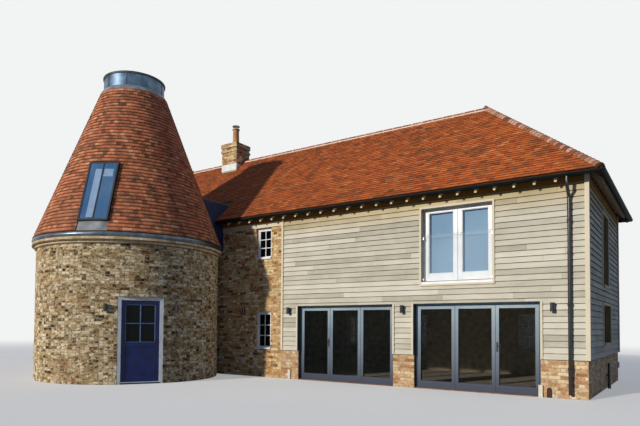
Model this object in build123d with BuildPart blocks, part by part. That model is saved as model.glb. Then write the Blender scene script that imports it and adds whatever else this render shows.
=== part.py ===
from build123d import *
from math import atan2, cos, degrees, radians, sin, sqrt, tan, tau
import os

# Converted oast house: a round brick kiln with a tiled cone roof, and a long hipped barn behind it.
# Millimetres. The origin is on the kiln's axis at ground level, +X along the barn, +Y to the back.

# Kiln wall and eaves
kiln_radius = 2390
kiln_wall = 340
kiln_wall_top = 3370
course = 75
corbel_steps = (40, 105)
eaves_ring_top = 3600
band_thickness = 20
band_top = 3650
band_gap = 2
floor_thickness = 40
ring_cuts = (-142.5, 90)

# Cone roof
eaves_reach = 93
cone_top_radius = 855
cone_top = 7860
cone_thickness = 120
drum_radius = 810
drum_wall = 40
drum_height = 405
cap_overhang = 30
cap_rise = 45
cap_height = 70
drum_seams = 9
seam_azimuth = -53
seam_width = 22
seam_proud = 14

# Skylight on the cone
skylight_azimuth = -59
skylight_width = 750
skylight_z = (3905, 5490)
skylight_frame_width = 42
skylight_bar = 26
skylight_proud = 50
skylight_depth = 90
pane = 8
apron_angle = 18
apron_bottom = 3665
lead = 5

# Kiln door
door_azimuth = -31
doorway_width = 1060
doorway_height = 2100
door_jamb = 70
door_stop = 12
door_stop_depth = 30
door_gap = 7
door_stop_gap = 5
leaf_thickness = 44
door_sill = 40
leaf_stile = 100
leaf_head_rail = 103
leaf_light_sill = 1000
leaf_panel_z = (230, 900)
leaf_panel_recess = 8
hinge_from_end = 300
hinge_radius = 7
hinge_pin = 4
hinge_length = 90
hinge_play = 0.3
hinge_clearance = 2
hinge_plate = 3
hinge_plate_width = 40
spindle_height = 1030
spindle_backset = 55
spindle_radius = 9
handle_plate = (220, 36)
plate_drop = 30
plate_thickness = 6
lever_length = 120
lever_width = 18
lever_depth = 14
lever_reach = 36

# Barn walls
barn_left = -5500
barn_right = 11362
kiln_lap = 280
barn_depth = 5238
wall = 300
wall_top = 4240
plinth_top = 774
boards_left = 3735
board_depth = 35
board_top = 4530
trim_depth = 50
trim_width = 45
batten_width = 60
corner_width = 85
upper_floor_top = 2340
upper_floor_depth = 200

# Barn roof
eaves_z = 4510
ridge_z = 7272
overhang = 313
hip_run = 3067
roof_thickness = 70
tile_edge = 45
plate_width = 150
plate_top = 4620
rafter_width = 50
rafter_depth = 100
rafter_spacing = 405
rafter_setback = 60
ridge_radius = 115
hip_bed = 71
gutter_radius = 62
gutter_wall = 4
gutter_flat = 1
gutter_drop = 4
pipe_radius = 34
pipe_wall = 4
pipe_from_corner = 312
pipe_from_boards = 25
pipe_bend = 70
pipe_neck = (140, 350)
pipe_foot = 90
clip_heights = (500, 1700, 2900, 3800)
clip_height = 40
clip_rim = 6
seat = 0.3

# Link of lead-covered boarding between the cone and the barn roof
link_half_width = 1500
link_rise = 670
link_fall = 130
link_rolls = 7
roll_radius = 24

# Folding doors
folding_left = 4300
folding_width = 2820
folding_pitch = 3360
folding_head = 1965
folding_setback = 100
folding_depth = 70
folding_jamb = 50
folding_sill = 30
leaf_member = 78
leaf_bottom_rail = 145
leaf_joint = 0.6
leaves_each = 3

# Upper casement pair
casement_x = (7860, 9510)
casement_z = (2410, 4160)
casement_setback = 155
casement_stile = 128
casement_head = 85
casement_rail = 200
casement_meeting = 204
joinery_depth = 70
guard_top = 3550
guard_thickness = 16
guard_setback = 25

# Small windows, each as its left, right, sill and head
narrow_window = (2790, 3345)
upper_window_z = (3310, 4200)
lower_window_z = (780, 1830)
end_upper_y = (4150, 5150)
end_upper_z = (2350, 4070)
end_lower_y = (4180, 5500)
end_lower_z = (1030, 1960)
back_windows_x = (5600, 9000)
window_member = 55
window_setback = 70
sill_height = 50
sill_reach = 35

# Chimney
stack_x = (-730, -40)
stack_before_ridge = 449
stack_behind_ridge = 221
stack_top = 7870
stack_courses = (7560, 7720)
stack_oversail = 25
flashing_bottom = 6900
flashing_top = 7120
pot_radius = 118
pot_wall = 20
pot_height = 595
pot_base = 25
pot_lip = 14
cowl_radius = 138
cowl_top_radius = 120
cowl_gap = 100
cowl_rise = 20
cowl_leg = 12
cowl_legs = 4

# Fittings
lamp_radius = 45
lamp_height = 180
lamp_gap = 20
lamp_z = 1840
lamp_bed = 1
barn_lamps_x = (2390, 4020, 7388, 10725)
kiln_lamps_azimuth = (-50.3, -10.6)
vent_x = 2347
vent_z = 437
vent_size = 170
vent_depth = 25
vent_slots = 5
vent_slot_length = 136
boxing_x = (4026, 10478)
boxing_width = 80
boxing_height = 250
arch_vent_from_corner = 722
arch_vent_width = 96
arch_vent_height = 205
end_box_from_back = 198
end_box_z = (360, 520)
soil_pipe_y = 4800
soil_pipe_top = 600

# Worked out from the sizes above
inner_radius = kiln_radius - kiln_wall
full_turn = degrees(tau)
cone_base_radius = kiln_radius + eaves_reach
cone_slope = atan2(cone_top - eaves_ring_top, cone_base_radius - cone_top_radius)
cone_rate = (cone_base_radius - cone_top_radius) / (cone_top - eaves_ring_top)
band_radius = cone_base_radius + band_thickness + band_gap
front_y = kiln_radius - kiln_lap
back_y = front_y + barn_depth
mid_y = (front_y + back_y) / 2
front_eaves = front_y - overhang
back_eaves = back_y + overhang
left_eaves = barn_left - overhang
right_eaves = barn_right + overhang
half_span = mid_y - front_eaves
pitch = atan2(ridge_z - eaves_z, half_span)
hip_pitch = atan2(ridge_z - eaves_z, hip_run)
boards_face = front_y - board_depth
leaf_bottom = door_sill + door_gap
leaf_top = doorway_height - door_jamb - door_gap
leaf_light_z = (leaf_light_sill, leaf_top - leaf_head_rail)
hinge_heights = (hinge_from_end, doorway_height / 2, doorway_height - hinge_from_end)
link_crown = eaves_z + link_rise
drum_top = cone_top + drum_height
cap_top = drum_top + cap_height
stack_y = (mid_y - stack_before_ridge, mid_y + stack_behind_ridge)
arch_vent_x = barn_right - arch_vent_from_corner
end_box_y = back_y - end_box_from_back
pot_top = stack_top + pot_height
pane_seat = (joinery_depth - pane) / 2


def cone_radius(z):
    """Outside radius of the tiled cone at a height."""
    return cone_base_radius - cone_rate * (z - eaves_ring_top)


def roof_height(y):
    """Top of the front roof slope at a distance back."""
    return eaves_z + (y - front_eaves) * tan(pitch)


def block(x, y, z, mode=Mode.ADD):
    """A box between two limits along each axis."""
    with Locations((x[0], y[0], z[0])):
        Box(x[1] - x[0], y[1] - y[0], z[1] - z[0], align=(Align.MIN,) * 3, mode=mode)


def panel(across, up, mode=Mode.ADD):
    """A rectangle between two limits in the sketch's plane."""
    with Locations(((across[0] + across[1]) / 2, (up[0] + up[1]) / 2)):
        Rectangle(across[1] - across[0], up[1] - up[0], mode=mode)


def grown(limits, by):
    """Two limits moved apart at both ends."""
    return (limits[0] - by, limits[1] + by)


def surround(across, up, width):
    """Flat boards round an opening, in the sketch's plane."""
    panel(grown(across, width), grown(up, width))
    panel(across, up, Mode.SUBTRACT)


def facing_front(y):
    """Plane that faces the front at a distance back, drawn in X and Z."""
    return Plane.XZ.offset(-y)


def facing_right(x):
    """Plane that faces the right-hand end, drawn in Y and Z."""
    return Plane.YZ.offset(x)


def frame_and_sash(across, up, member, light_gap=0, lights=1):
    """A window frame's face: its outline less one or more lights."""
    panel(across, up)
    light = (across[1] - across[0] - 2 * member - (lights - 1) * light_gap) / lights
    for number in range(lights):
        start = across[0] + member + number * (light + light_gap)
        panel((start, start + light), (up[0] + member, up[1] - member), Mode.SUBTRACT)


def lever_handle(face, turn, spindle, hand=-1):
    """A plate on a face, its spindle, and a lever that points to one hand, left unless told."""
    with BuildPart() as handle:
        with BuildSketch(face):
            with Locations((spindle[0], spindle[1] - plate_drop)):
                SlotOverall(*handle_plate, rotation=90)
        extrude(amount=turn * plate_thickness)
        with BuildSketch(face):
            with Locations(spindle):
                Circle(spindle_radius)
        extrude(amount=turn * lever_reach)
        with BuildSketch(face.offset(turn * lever_reach)):
            with Locations((spindle[0] + hand * (lever_length / 2 - spindle_radius), spindle[1])):
                SlotOverall(lever_length, lever_width)
        extrude(amount=turn * lever_depth)
    return handle.part


def save(name, part):
    """Label a finished piece and write its file."""
    part.label = name
    export_step(part, f"parts/{name}.step")


os.makedirs("parts", exist_ok=True)

# Directions at the kiln door: out of the doorway and along it to the right.
door_out = Vector(cos(radians(door_azimuth)), sin(radians(door_azimuth)), 0)
door_along = Vector(-door_out.Y, door_out.X, 0)
frame_face = sqrt(kiln_radius**2 - (doorway_width / 2) ** 2)
leaf_face = frame_face - door_stop_depth - door_stop_gap
leaf_back = leaf_face - leaf_thickness
hinge_line = (-doorway_width / 2 + door_jamb + door_gap / 2, leaf_back - hinge_radius - hinge_clearance)


def door_elevation(out):
    """Upright plane across the doorway, a distance out from the kiln's axis."""
    return Plane(origin=door_out * out, x_dir=door_along, z_dir=door_out)


def door_plan(z):
    """Level plane turned to the doorway: x is along it, y is into the kiln."""
    return Plane(origin=(0, 0, z), x_dir=door_along, z_dir=(0, 0, 1))


# Kiln wall: one ring, cut beside and over the doorway and at the barn's front wall.
with BuildPart() as kiln_ring:
    with BuildSketch():
        Circle(kiln_radius)
        Circle(inner_radius, mode=Mode.SUBTRACT)
        panel((-2 * kiln_radius, 2 * kiln_radius), (front_y, 2 * kiln_radius), Mode.SUBTRACT)
    extrude(amount=kiln_wall_top)

with BuildPart() as doorway:
    with BuildSketch(door_elevation(inner_radius / 2)):
        panel((-doorway_width / 2, doorway_width / 2), (0, kiln_wall_top))
    extrude(amount=kiln_radius)

with BuildPart() as kiln_door_head:
    add(kiln_ring.part)
    add(doorway.part, mode=Mode.INTERSECT)
    block((-2 * kiln_radius, 2 * kiln_radius), (-2 * kiln_radius, 2 * kiln_radius),
          (0, doorway_height), Mode.SUBTRACT)

ring_limits = {
    "kiln_wall_left": (door_azimuth, ring_cuts[0]),
    "kiln_wall_back": (ring_cuts[0], ring_cuts[1] - full_turn),
    "kiln_wall_right": (ring_cuts[1], door_azimuth),
}
kiln_walls = {}
for name, (start, end) in ring_limits.items():
    quarter_turns = [start + (end - start) * step / 4 for step in range(5)]
    with BuildPart() as ring_piece:
        add(kiln_ring.part)
        with BuildSketch():
            with BuildLine():
                corners = [(2 * kiln_radius * cos(radians(a)), 2 * kiln_radius * sin(radians(a)))
                           for a in quarter_turns]
                Polyline((0, 0), *corners, close=True)
            make_face()
        extrude(amount=kiln_wall_top, mode=Mode.INTERSECT)
        add(doorway.part, mode=Mode.SUBTRACT)
    kiln_walls[name] = ring_piece.part

# Two oversailing courses carry the cone's foot, with the wall's head inside them.
with BuildPart() as kiln_corbels:
    with BuildSketch(Plane.XZ):
        with BuildLine():
            Polyline(
                (inner_radius, kiln_wall_top),
                (kiln_radius + corbel_steps[0], kiln_wall_top),
                (kiln_radius + corbel_steps[0], kiln_wall_top + course),
                (kiln_radius + corbel_steps[1], kiln_wall_top + course),
                (kiln_radius + corbel_steps[1], kiln_wall_top + 2 * course),
                (cone_base_radius, kiln_wall_top + 2 * course),
                (cone_base_radius, eaves_ring_top),
                (inner_radius, eaves_ring_top),
                close=True,
            )
        make_face()
    revolve(axis=Axis.Z)
    block((-2 * kiln_radius, 2 * kiln_radius), (front_y, 2 * kiln_radius), (0, cone_top), Mode.SUBTRACT)

with BuildPart() as kiln_eaves_band:
    with BuildSketch(Plane.XY.offset(kiln_wall_top + 2 * course)):
        Circle(band_radius)
        Circle(band_radius - band_thickness, mode=Mode.SUBTRACT)
        panel((-2 * kiln_radius, 2 * kiln_radius), (front_y, 2 * kiln_radius), Mode.SUBTRACT)
    extrude(amount=band_top - kiln_wall_top - 2 * course)

# Cone: a straight tapered shell, open at the top, with the skylight's hole.
sky_middle = sum(skylight_z) / 2
sky_out = Vector(cos(radians(skylight_azimuth)), sin(radians(skylight_azimuth)), 0)
sky_normal = sky_out * sin(cone_slope) + Vector(0, 0, cos(cone_slope))
sky_across = Vector(-sky_out.Y, sky_out.X, 0)
sky_origin = sky_out * cone_radius(sky_middle) + Vector(0, 0, sky_middle)
sky_length = (skylight_z[1] - skylight_z[0]) / sin(cone_slope)
sky_plane = Plane(origin=sky_origin, x_dir=sky_across, z_dir=sky_normal)
cone_inset = cone_thickness / sin(cone_slope)

with BuildPart() as cone_solid:
    with BuildSketch(Plane.XZ):
        with BuildLine():
            Polyline(
                (0, eaves_ring_top),
                (cone_base_radius, eaves_ring_top),
                (cone_top_radius, cone_top),
                (0, cone_top),
                close=True,
            )
        make_face()
    revolve(axis=Axis.Z)

with BuildPart() as kiln_cone:
    with BuildSketch(Plane.XZ):
        with BuildLine():
            Polyline(
                (cone_base_radius - cone_inset, eaves_ring_top),
                (cone_base_radius, eaves_ring_top),
                (cone_top_radius, cone_top),
                (cone_top_radius - cone_inset, cone_top),
                close=True,
            )
        make_face()
    revolve(axis=Axis.Z)
    block((-2 * kiln_radius, 2 * kiln_radius), (front_y, 2 * kiln_radius), (0, cone_top), Mode.SUBTRACT)
    with BuildSketch(sky_plane.offset(skylight_proud)):
        Rectangle(skylight_width, sky_length)
    extrude(amount=-skylight_proud - 2 * cone_thickness, mode=Mode.SUBTRACT)

with BuildPart() as skylight_frame:
    with BuildSketch(sky_plane.offset(-skylight_depth)):
        across = (-skylight_width / 2, skylight_width / 2)
        frame_and_sash(across, (-sky_length / 2, sky_length / 2), skylight_frame_width, skylight_bar, 2)
    extrude(amount=skylight_depth + skylight_proud)

with BuildPart() as skylight_glass:
    with BuildSketch(sky_plane.offset(skylight_proud - 2 * pane)):
        pitch_across = (skylight_width - 2 * skylight_frame_width + skylight_bar) / 2
        with GridLocations(pitch_across, 0, 2, 1):
            Rectangle(pitch_across - skylight_bar, sky_length - 2 * skylight_frame_width)
    extrude(amount=pane)

with BuildPart() as skylight_apron:
    start_angle = skylight_azimuth - apron_angle / 2
    apron_top = skylight_z[0] - lead
    with BuildSketch(Plane.XZ.rotated((0, 0, start_angle))):
        with BuildLine():
            Polyline(
                (cone_radius(apron_bottom), apron_bottom),
                (cone_radius(apron_bottom) + lead, apron_bottom),
                (cone_radius(apron_top) + lead, apron_top),
                (cone_radius(apron_top), apron_top),
                close=True,
            )
        make_face()
    revolve(axis=Axis.Z, revolution_arc=apron_angle)
    add(skylight_frame.part, mode=Mode.SUBTRACT)

with BuildPart() as kiln_drum:
    with BuildSketch(Plane.XY.offset(cone_top)):
        Circle(drum_radius)
        Circle(drum_radius - drum_wall, mode=Mode.SUBTRACT)
    extrude(amount=drum_top - cone_top)
    with BuildSketch(Plane.XY.offset(cone_top)):
        with PolarLocations(drum_radius, drum_seams, start_angle=seam_azimuth):
            Rectangle(2 * seam_proud, seam_width)
        Circle(drum_radius - drum_wall, mode=Mode.SUBTRACT)
    extrude(amount=drum_top - cone_top)

with BuildPart() as drum_cap:
    with BuildSketch(Plane.XZ):
        with BuildLine():
            Polyline(
                (0, drum_top),
                (drum_radius + cap_overhang, drum_top),
                (drum_radius + cap_overhang, cap_top - cap_rise),
                (0, cap_top),
                close=True,
            )
        make_face()
    revolve(axis=Axis.Z)

# Kiln door: a white frame with a sill, and a half-glazed leaf that opens inwards.
with BuildPart() as door_frame:
    half = doorway_width / 2
    with BuildSketch(door_elevation(leaf_back)):
        panel((-half, half), (0, doorway_height))
        panel((-half + door_jamb, half - door_jamb), (door_sill, doorway_height - door_jamb), Mode.SUBTRACT)
    extrude(amount=frame_face - leaf_back)
    with BuildSketch(door_elevation(leaf_face + door_stop_gap)):
        panel((-half, half), (0, doorway_height))
        inner = door_jamb + door_stop
        panel((-half + inner, half - inner), (door_sill + door_stop, doorway_height - inner), Mode.SUBTRACT)
    extrude(amount=door_stop_depth)

leaf_half = doorway_width / 2 - door_jamb - door_gap
light_half = leaf_half - leaf_stile

with BuildPart() as door_leaf:
    with BuildSketch(door_elevation(leaf_back)):
        panel((-leaf_half, leaf_half), (leaf_bottom, leaf_top))
        panel((-light_half, light_half), leaf_light_z, Mode.SUBTRACT)
    extrude(amount=leaf_thickness)
    for face, depth in ((leaf_face, -leaf_panel_recess), (leaf_back, leaf_panel_recess)):
        with BuildSketch(door_elevation(face)):
            panel((-light_half, light_half), leaf_panel_z)
        extrude(amount=depth, mode=Mode.SUBTRACT)

with BuildPart() as door_glass:
    with BuildSketch(door_elevation(leaf_back + (leaf_thickness - pane) / 2)):
        panel((-light_half, light_half), leaf_light_z)
    extrude(amount=pane)

# Butt hinges: two knuckles and the pin on the frame, one knuckle on the leaf.
knuckle = hinge_length / 3
with BuildPart() as door_hinges:
    for height in hinge_heights:
        for start in (height, height + 2 * knuckle):
            with BuildSketch(door_plan(start)):
                with Locations((hinge_line[0], -hinge_line[1])):
                    Circle(hinge_radius)
                reach = -doorway_width / 2 + door_jamb - hinge_plate_width
                panel((reach, hinge_line[0]), (-leaf_back, -leaf_back + hinge_plate))
            extrude(amount=knuckle - hinge_play)
        with BuildSketch(door_plan(height)):
            with Locations((hinge_line[0], -hinge_line[1])):
                Circle(hinge_pin)
        extrude(amount=hinge_length - hinge_play)

door_levers = [
    lever_handle(door_elevation(face), turn, (leaf_half - spindle_backset, spindle_height))
    for face, turn in ((leaf_face, 1), (leaf_back, -1))
]
with BuildPart() as door_furniture:
    for height in hinge_heights:
        with BuildSketch(door_plan(height + knuckle)):
            with Locations((hinge_line[0], -hinge_line[1])):
                Circle(hinge_radius)
            reach = -leaf_half + hinge_plate_width
            panel((hinge_line[0], reach), (-leaf_back, -leaf_back + hinge_plate))
            with Locations((hinge_line[0], -hinge_line[1])):
                Circle(hinge_pin + hinge_play, mode=Mode.SUBTRACT)
        extrude(amount=knuckle - hinge_play)
    add(door_levers)

# Floors: one in the kiln that runs into its doorway, one in the barn, and the barn's upper floor.
with BuildPart() as ground_floors:
    with BuildSketch():
        Circle(inner_radius)
    extrude(amount=floor_thickness)
    with BuildSketch(door_plan(0)):
        panel((-doorway_width / 2, doorway_width / 2), (-leaf_back, 0))
    extrude(amount=floor_thickness)
    block((barn_left + wall, barn_right - wall), (front_y + wall, back_y - wall), (0, floor_thickness))
    block(stack_x, stack_y, (0, floor_thickness), Mode.SUBTRACT)

with BuildPart() as upper_floor:
    block((barn_left + wall, barn_right - wall), (front_y + wall, back_y - wall),
          (upper_floor_top - upper_floor_depth, upper_floor_top))
    block(stack_x, stack_y, (0, stack_top), Mode.SUBTRACT)

# Barn walls, with every opening cut through.
folding_openings = [
    (folding_left + number * folding_pitch, folding_left + number * folding_pitch + folding_width)
    for number in range(2)
]
mirrored_window = (-narrow_window[1], -narrow_window[0])
narrow_columns = (narrow_window, mirrored_window)
window_rows = (upper_window_z, lower_window_z)
back_half = (narrow_window[1] - narrow_window[0]) / 2
boarded_columns = [(x - back_half, x + back_half) for x in back_windows_x]
back_columns = [*narrow_columns, *boarded_columns]

with BuildPart() as front_wall_left:
    with BuildSketch(facing_front(front_y)):
        panel((barn_left, boards_left), (0, wall_top))
        for column in narrow_columns:
            for row in window_rows:
                panel(column, row, Mode.SUBTRACT)
    extrude(amount=-wall)

pier_edges = [boards_left, *folding_openings[0], *folding_openings[1], barn_right]
with BuildPart() as front_piers:
    with BuildSketch(facing_front(front_y)):
        for number in range(3):
            panel((pier_edges[2 * number], pier_edges[2 * number + 1]), (0, folding_head))
    extrude(amount=-wall)

with BuildPart() as front_wall_upper:
    with BuildSketch(facing_front(front_y)):
        panel((boards_left, barn_right), (folding_head, wall_top))
        panel(casement_x, casement_z, Mode.SUBTRACT)
    extrude(amount=-wall)

with BuildPart() as back_wall:
    with BuildSketch(facing_front(back_y)):
        panel((barn_left, barn_right), (0, wall_top))
        for column in back_columns:
            for row in window_rows:
                panel(column, row, Mode.SUBTRACT)
    extrude(amount=wall)

end_openings = ((end_upper_y, end_upper_z), (end_lower_y, end_lower_z))
with BuildPart() as end_walls:
    for face, inward in ((barn_right, -wall), (barn_left, wall)):
        with BuildSketch(facing_right(face)):
            panel((front_y + wall, back_y - wall), (0, wall_top))
            for across, up in end_openings:
                panel(across, up, Mode.SUBTRACT)
        extrude(amount=inward)

# Weatherboarding stands proud of the walls over a brick plinth.
with BuildPart() as front_boards:
    with BuildSketch(facing_front(front_y)):
        panel((boards_left + batten_width, barn_right), (plinth_top, board_top))
        for opening in folding_openings:
            panel(grown(opening, trim_width), (0, folding_head), Mode.SUBTRACT)
        panel(grown(casement_x, trim_width), grown(casement_z, trim_width), Mode.SUBTRACT)
    extrude(amount=board_depth)

with BuildPart() as right_boards:
    with BuildSketch(facing_right(barn_right)):
        panel((front_y, back_y), (plinth_top, board_top))
        for across, up in end_openings:
            panel(grown(across, trim_width), grown(up, trim_width), Mode.SUBTRACT)
    extrude(amount=board_depth)

with BuildPart() as back_boards:
    with BuildSketch(facing_front(back_y)):
        panel((boards_left + batten_width, barn_right), (plinth_top, board_top))
        for column in boarded_columns:
            for row in window_rows:
                panel(grown(column, trim_width), grown(row, trim_width), Mode.SUBTRACT)
    extrude(amount=-board_depth)

# Oak trim: corner boards, end battens and the boards round each opening.
with BuildPart() as oak_trim:
    with BuildSketch(facing_front(front_y)):
        panel((boards_left, boards_left + batten_width), (plinth_top, board_top))
        for opening in folding_openings:
            panel((opening[0] - trim_width, opening[0]), (plinth_top, folding_head))
            panel((opening[1], opening[1] + trim_width), (plinth_top, folding_head))
        surround(casement_x, casement_z, trim_width)
    extrude(amount=trim_depth)
    with BuildSketch(facing_front(back_y)):
        panel((boards_left, boards_left + batten_width), (plinth_top, board_top))
        for column in boarded_columns:
            for row in window_rows:
                surround(column, row, trim_width)
    extrude(amount=-trim_depth)
    with BuildSketch(facing_right(barn_right)):
        for across, up in end_openings:
            surround(across, up, trim_width)
    extrude(amount=trim_depth)
    for corner_y, outward in ((front_y, -1), (back_y, 1)):
        near = corner_y + outward * board_depth
        far = corner_y + outward * trim_depth
        inner_y = corner_y + outward * (trim_depth - corner_width)
        block((barn_right + trim_depth - corner_width, barn_right + trim_depth),
              (min(near, far), max(near, far)), (plinth_top, board_top))
        block((barn_right + board_depth, barn_right + trim_depth),
              (min(inner_y, far), max(inner_y, far)), (plinth_top, board_top))

# Wall plates lie on the walls' outer edge and carry the rafter feet.
with BuildPart() as wall_plates:
    block((barn_left, barn_right), (front_y, back_y), (wall_top, plate_top))
    block((barn_left + plate_width, barn_right - plate_width), (front_y + plate_width, back_y - plate_width),
          (wall_top, plate_top), Mode.SUBTRACT)

# Roof: one hipped shell, parted along its hips and ridge.
drop = roof_thickness / cos(pitch)
hip_drop = roof_thickness / cos(hip_pitch)


def hipped(lowered, hip_lowered, foot):
    """A solid hipped roof, a depth below the outside slopes, down to a level foot."""
    reach = (ridge_z - lowered - foot) / tan(pitch)
    with BuildPart() as solid:
        with BuildSketch(facing_right(left_eaves)):
            with BuildLine():
                Polyline((mid_y - reach, foot), (mid_y, ridge_z - lowered), (mid_y + reach, foot), close=True)
            make_face()
        extrude(amount=right_eaves - left_eaves)
        for x, outward in ((right_eaves, 1), (left_eaves, -1)):
            hip = Plane(origin=(x, mid_y, eaves_z - hip_lowered), x_dir=(0, 1, 0),
                        z_dir=(outward * sin(hip_pitch), 0, cos(hip_pitch)))
            split(bisect_by=hip, keep=Keep.BOTTOM)
    return solid.part


with BuildPart() as roof_outside:
    add(hipped(0, 0, eaves_z - tile_edge))
    block((left_eaves, right_eaves), (front_eaves, back_eaves),
          (eaves_z - tile_edge, ridge_z), Mode.INTERSECT)

with BuildPart() as roof_shell:
    add(roof_outside.part)
    add(hipped(drop, hip_drop, eaves_z - tile_edge - 2 * roof_thickness), mode=Mode.SUBTRACT)
    block(stack_x, stack_y, (0, stack_top), Mode.SUBTRACT)
    block((-link_half_width, link_half_width), (front_eaves - overhang, front_y), (0, ridge_z), Mode.SUBTRACT)

ridge_left = (left_eaves + hip_run, mid_y)
ridge_right = (right_eaves - hip_run, mid_y)
front_left = (left_eaves, front_eaves)
front_right = (right_eaves, front_eaves)
back_left = (left_eaves, back_eaves)
back_right = (right_eaves, back_eaves)
roof_plans = {
    "roof_front": [(front_left, front_right, ridge_right, ridge_left)],
    "roof_back": [(back_left, ridge_left, ridge_right, back_right)],
    "roof_hips": [(front_right, back_right, ridge_right), (front_left, ridge_left, back_left)],
}
roofs = {}
for name, outlines in roof_plans.items():
    with BuildPart() as slope:
        add(roof_shell.part)
        with BuildSketch():
            for outline in outlines:
                with BuildLine():
                    Polyline(*outline, close=True)
                make_face()
        extrude(amount=stack_top, mode=Mode.INTERSECT)
    roofs[name] = slope.part

# Half-round ridge and hip tiles bedded over the angles.
ridge_centre = ridge_z - ridge_radius * tan(pitch)
with BuildPart() as ridge_tiles:
    with BuildSketch(facing_right(ridge_left[0])):
        with Locations((mid_y, ridge_centre)):
            Circle(ridge_radius)
    extrude(amount=ridge_right[0] - ridge_left[0])
    add(roof_outside.part, mode=Mode.SUBTRACT)
    block((ridge_left[0], ridge_right[0]), (front_y, back_y), (eaves_z, ridge_centre), Mode.SUBTRACT)
    block(stack_x, stack_y, (0, stack_top), Mode.SUBTRACT)

with BuildPart() as hip_tiles:
    for corner, peak in ((front_right, ridge_right), (back_right, ridge_right),
                         (front_left, ridge_left), (back_left, ridge_left)):
        start = Vector(corner[0], corner[1], eaves_z)
        end = Vector(peak[0], peak[1], ridge_z)
        along = end - start
        level = Vector(-along.Y, along.X, 0).normalized()
        upright = along.cross(level).normalized()
        lift = upright if upright.Z > 0 else upright * -1
        with BuildSketch(Plane(origin=start - lift * hip_bed, x_dir=level, z_dir=along.normalized())):
            Circle(ridge_radius)
        extrude(amount=along.length)
    add(roof_outside.part, mode=Mode.SUBTRACT)
    add(ridge_tiles.part, mode=Mode.SUBTRACT)
    block((left_eaves - overhang, right_eaves + overhang), (front_eaves - overhang, back_eaves + overhang),
          (0, eaves_z), Mode.SUBTRACT)
    for x, outward in ((right_eaves, 1), (left_eaves, -1)):
        block(sorted((x, x + outward * overhang)), (front_eaves, back_eaves), (0, ridge_z), Mode.SUBTRACT)

# Rafter feet under the eaves, notched over the wall plates.
run_in = wall + overhang
foot_start = rafter_setback
rafter_drop = rafter_depth / cos(pitch)


def foot_outline(steepness, cover_drop, depth_drop):
    """A rafter foot's side: distance in from the eaves, and height."""
    def under(distance, lowered):
        return eaves_z - lowered + distance * tan(steepness)
    return [
        (foot_start, under(foot_start, cover_drop)),
        (run_in, under(run_in, cover_drop)),
        (run_in, under(run_in, cover_drop + depth_drop)),
        (foot_start, under(foot_start, cover_drop + depth_drop)),
    ]


side_count = int((barn_right - barn_left - 2 * rafter_spacing) / rafter_spacing)
side_start = (barn_left + barn_right) / 2 - side_count * rafter_spacing / 2
side_rafters = [side_start + number * rafter_spacing for number in range(side_count + 1)]
end_count = int((back_y - front_y - 2 * rafter_spacing) / rafter_spacing)
end_start = mid_y - end_count * rafter_spacing / 2
end_rafters = [end_start + number * rafter_spacing for number in range(end_count + 1)]
clear_of_link = [x for x in side_rafters if abs(x) > link_half_width + rafter_width]

with BuildPart() as side_feet:
    with BuildSketch(facing_right(barn_left)):
        for edge, inward in ((front_eaves, 1), (back_eaves, -1)):
            with BuildLine():
                outline = foot_outline(pitch, drop, rafter_drop)
                Polyline(*[(edge + inward * d, h) for d, h in outline], close=True)
            make_face()
    extrude(amount=barn_right - barn_left)
    with BuildSketch():
        for places, depth in ((clear_of_link, (front_eaves, mid_y)), (side_rafters, (mid_y, back_eaves))):
            for x in places:
                panel((x - rafter_width / 2, x + rafter_width / 2), depth)
    extrude(amount=ridge_z, mode=Mode.INTERSECT)

with BuildPart() as end_feet:
    with BuildSketch(facing_front(back_y)):
        for edge, inward in ((right_eaves, -1), (left_eaves, 1)):
            with BuildLine():
                outline = foot_outline(hip_pitch, hip_drop, rafter_depth / cos(hip_pitch))
                Polyline(*[(edge + inward * d, h) for d, h in outline], close=True)
            make_face()
    extrude(amount=back_y - front_y)
    with BuildSketch():
        for y in end_rafters:
            panel((left_eaves, right_eaves), (y - rafter_width / 2, y + rafter_width / 2))
    extrude(amount=ridge_z, mode=Mode.INTERSECT)

with BuildPart() as rafter_feet:
    add(side_feet.part)
    add(end_feet.part)
    add(wall_plates.part, mode=Mode.SUBTRACT)

# Gutter: a half round hung on the rafter feet, broken at the link.
gutter_inset = rafter_setback - seat - gutter_radius
gutter_top = eaves_z - tile_edge - gutter_drop
with BuildPart() as gutters:
    with BuildSketch(Plane.XY.offset(gutter_top - gutter_radius)):
        panel((left_eaves + gutter_inset - gutter_radius, right_eaves - gutter_inset + gutter_radius),
              (front_eaves + gutter_inset - gutter_radius, back_eaves - gutter_inset + gutter_radius))
        panel((left_eaves + gutter_inset + gutter_radius, right_eaves - gutter_inset - gutter_radius),
              (front_eaves + gutter_inset + gutter_radius, back_eaves - gutter_inset - gutter_radius),
              Mode.SUBTRACT)
    extrude(amount=gutter_radius)
    outer_edges = edges().group_by(Axis.Z)[0]
    fillet(outer_edges, gutter_radius - gutter_flat)
    open_top = faces().sort_by(Axis.Z)[-1]
    offset(amount=-gutter_wall, openings=open_top)
    block((-link_half_width, link_half_width), (front_eaves - overhang, front_y), (0, ridge_z), Mode.SUBTRACT)

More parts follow.
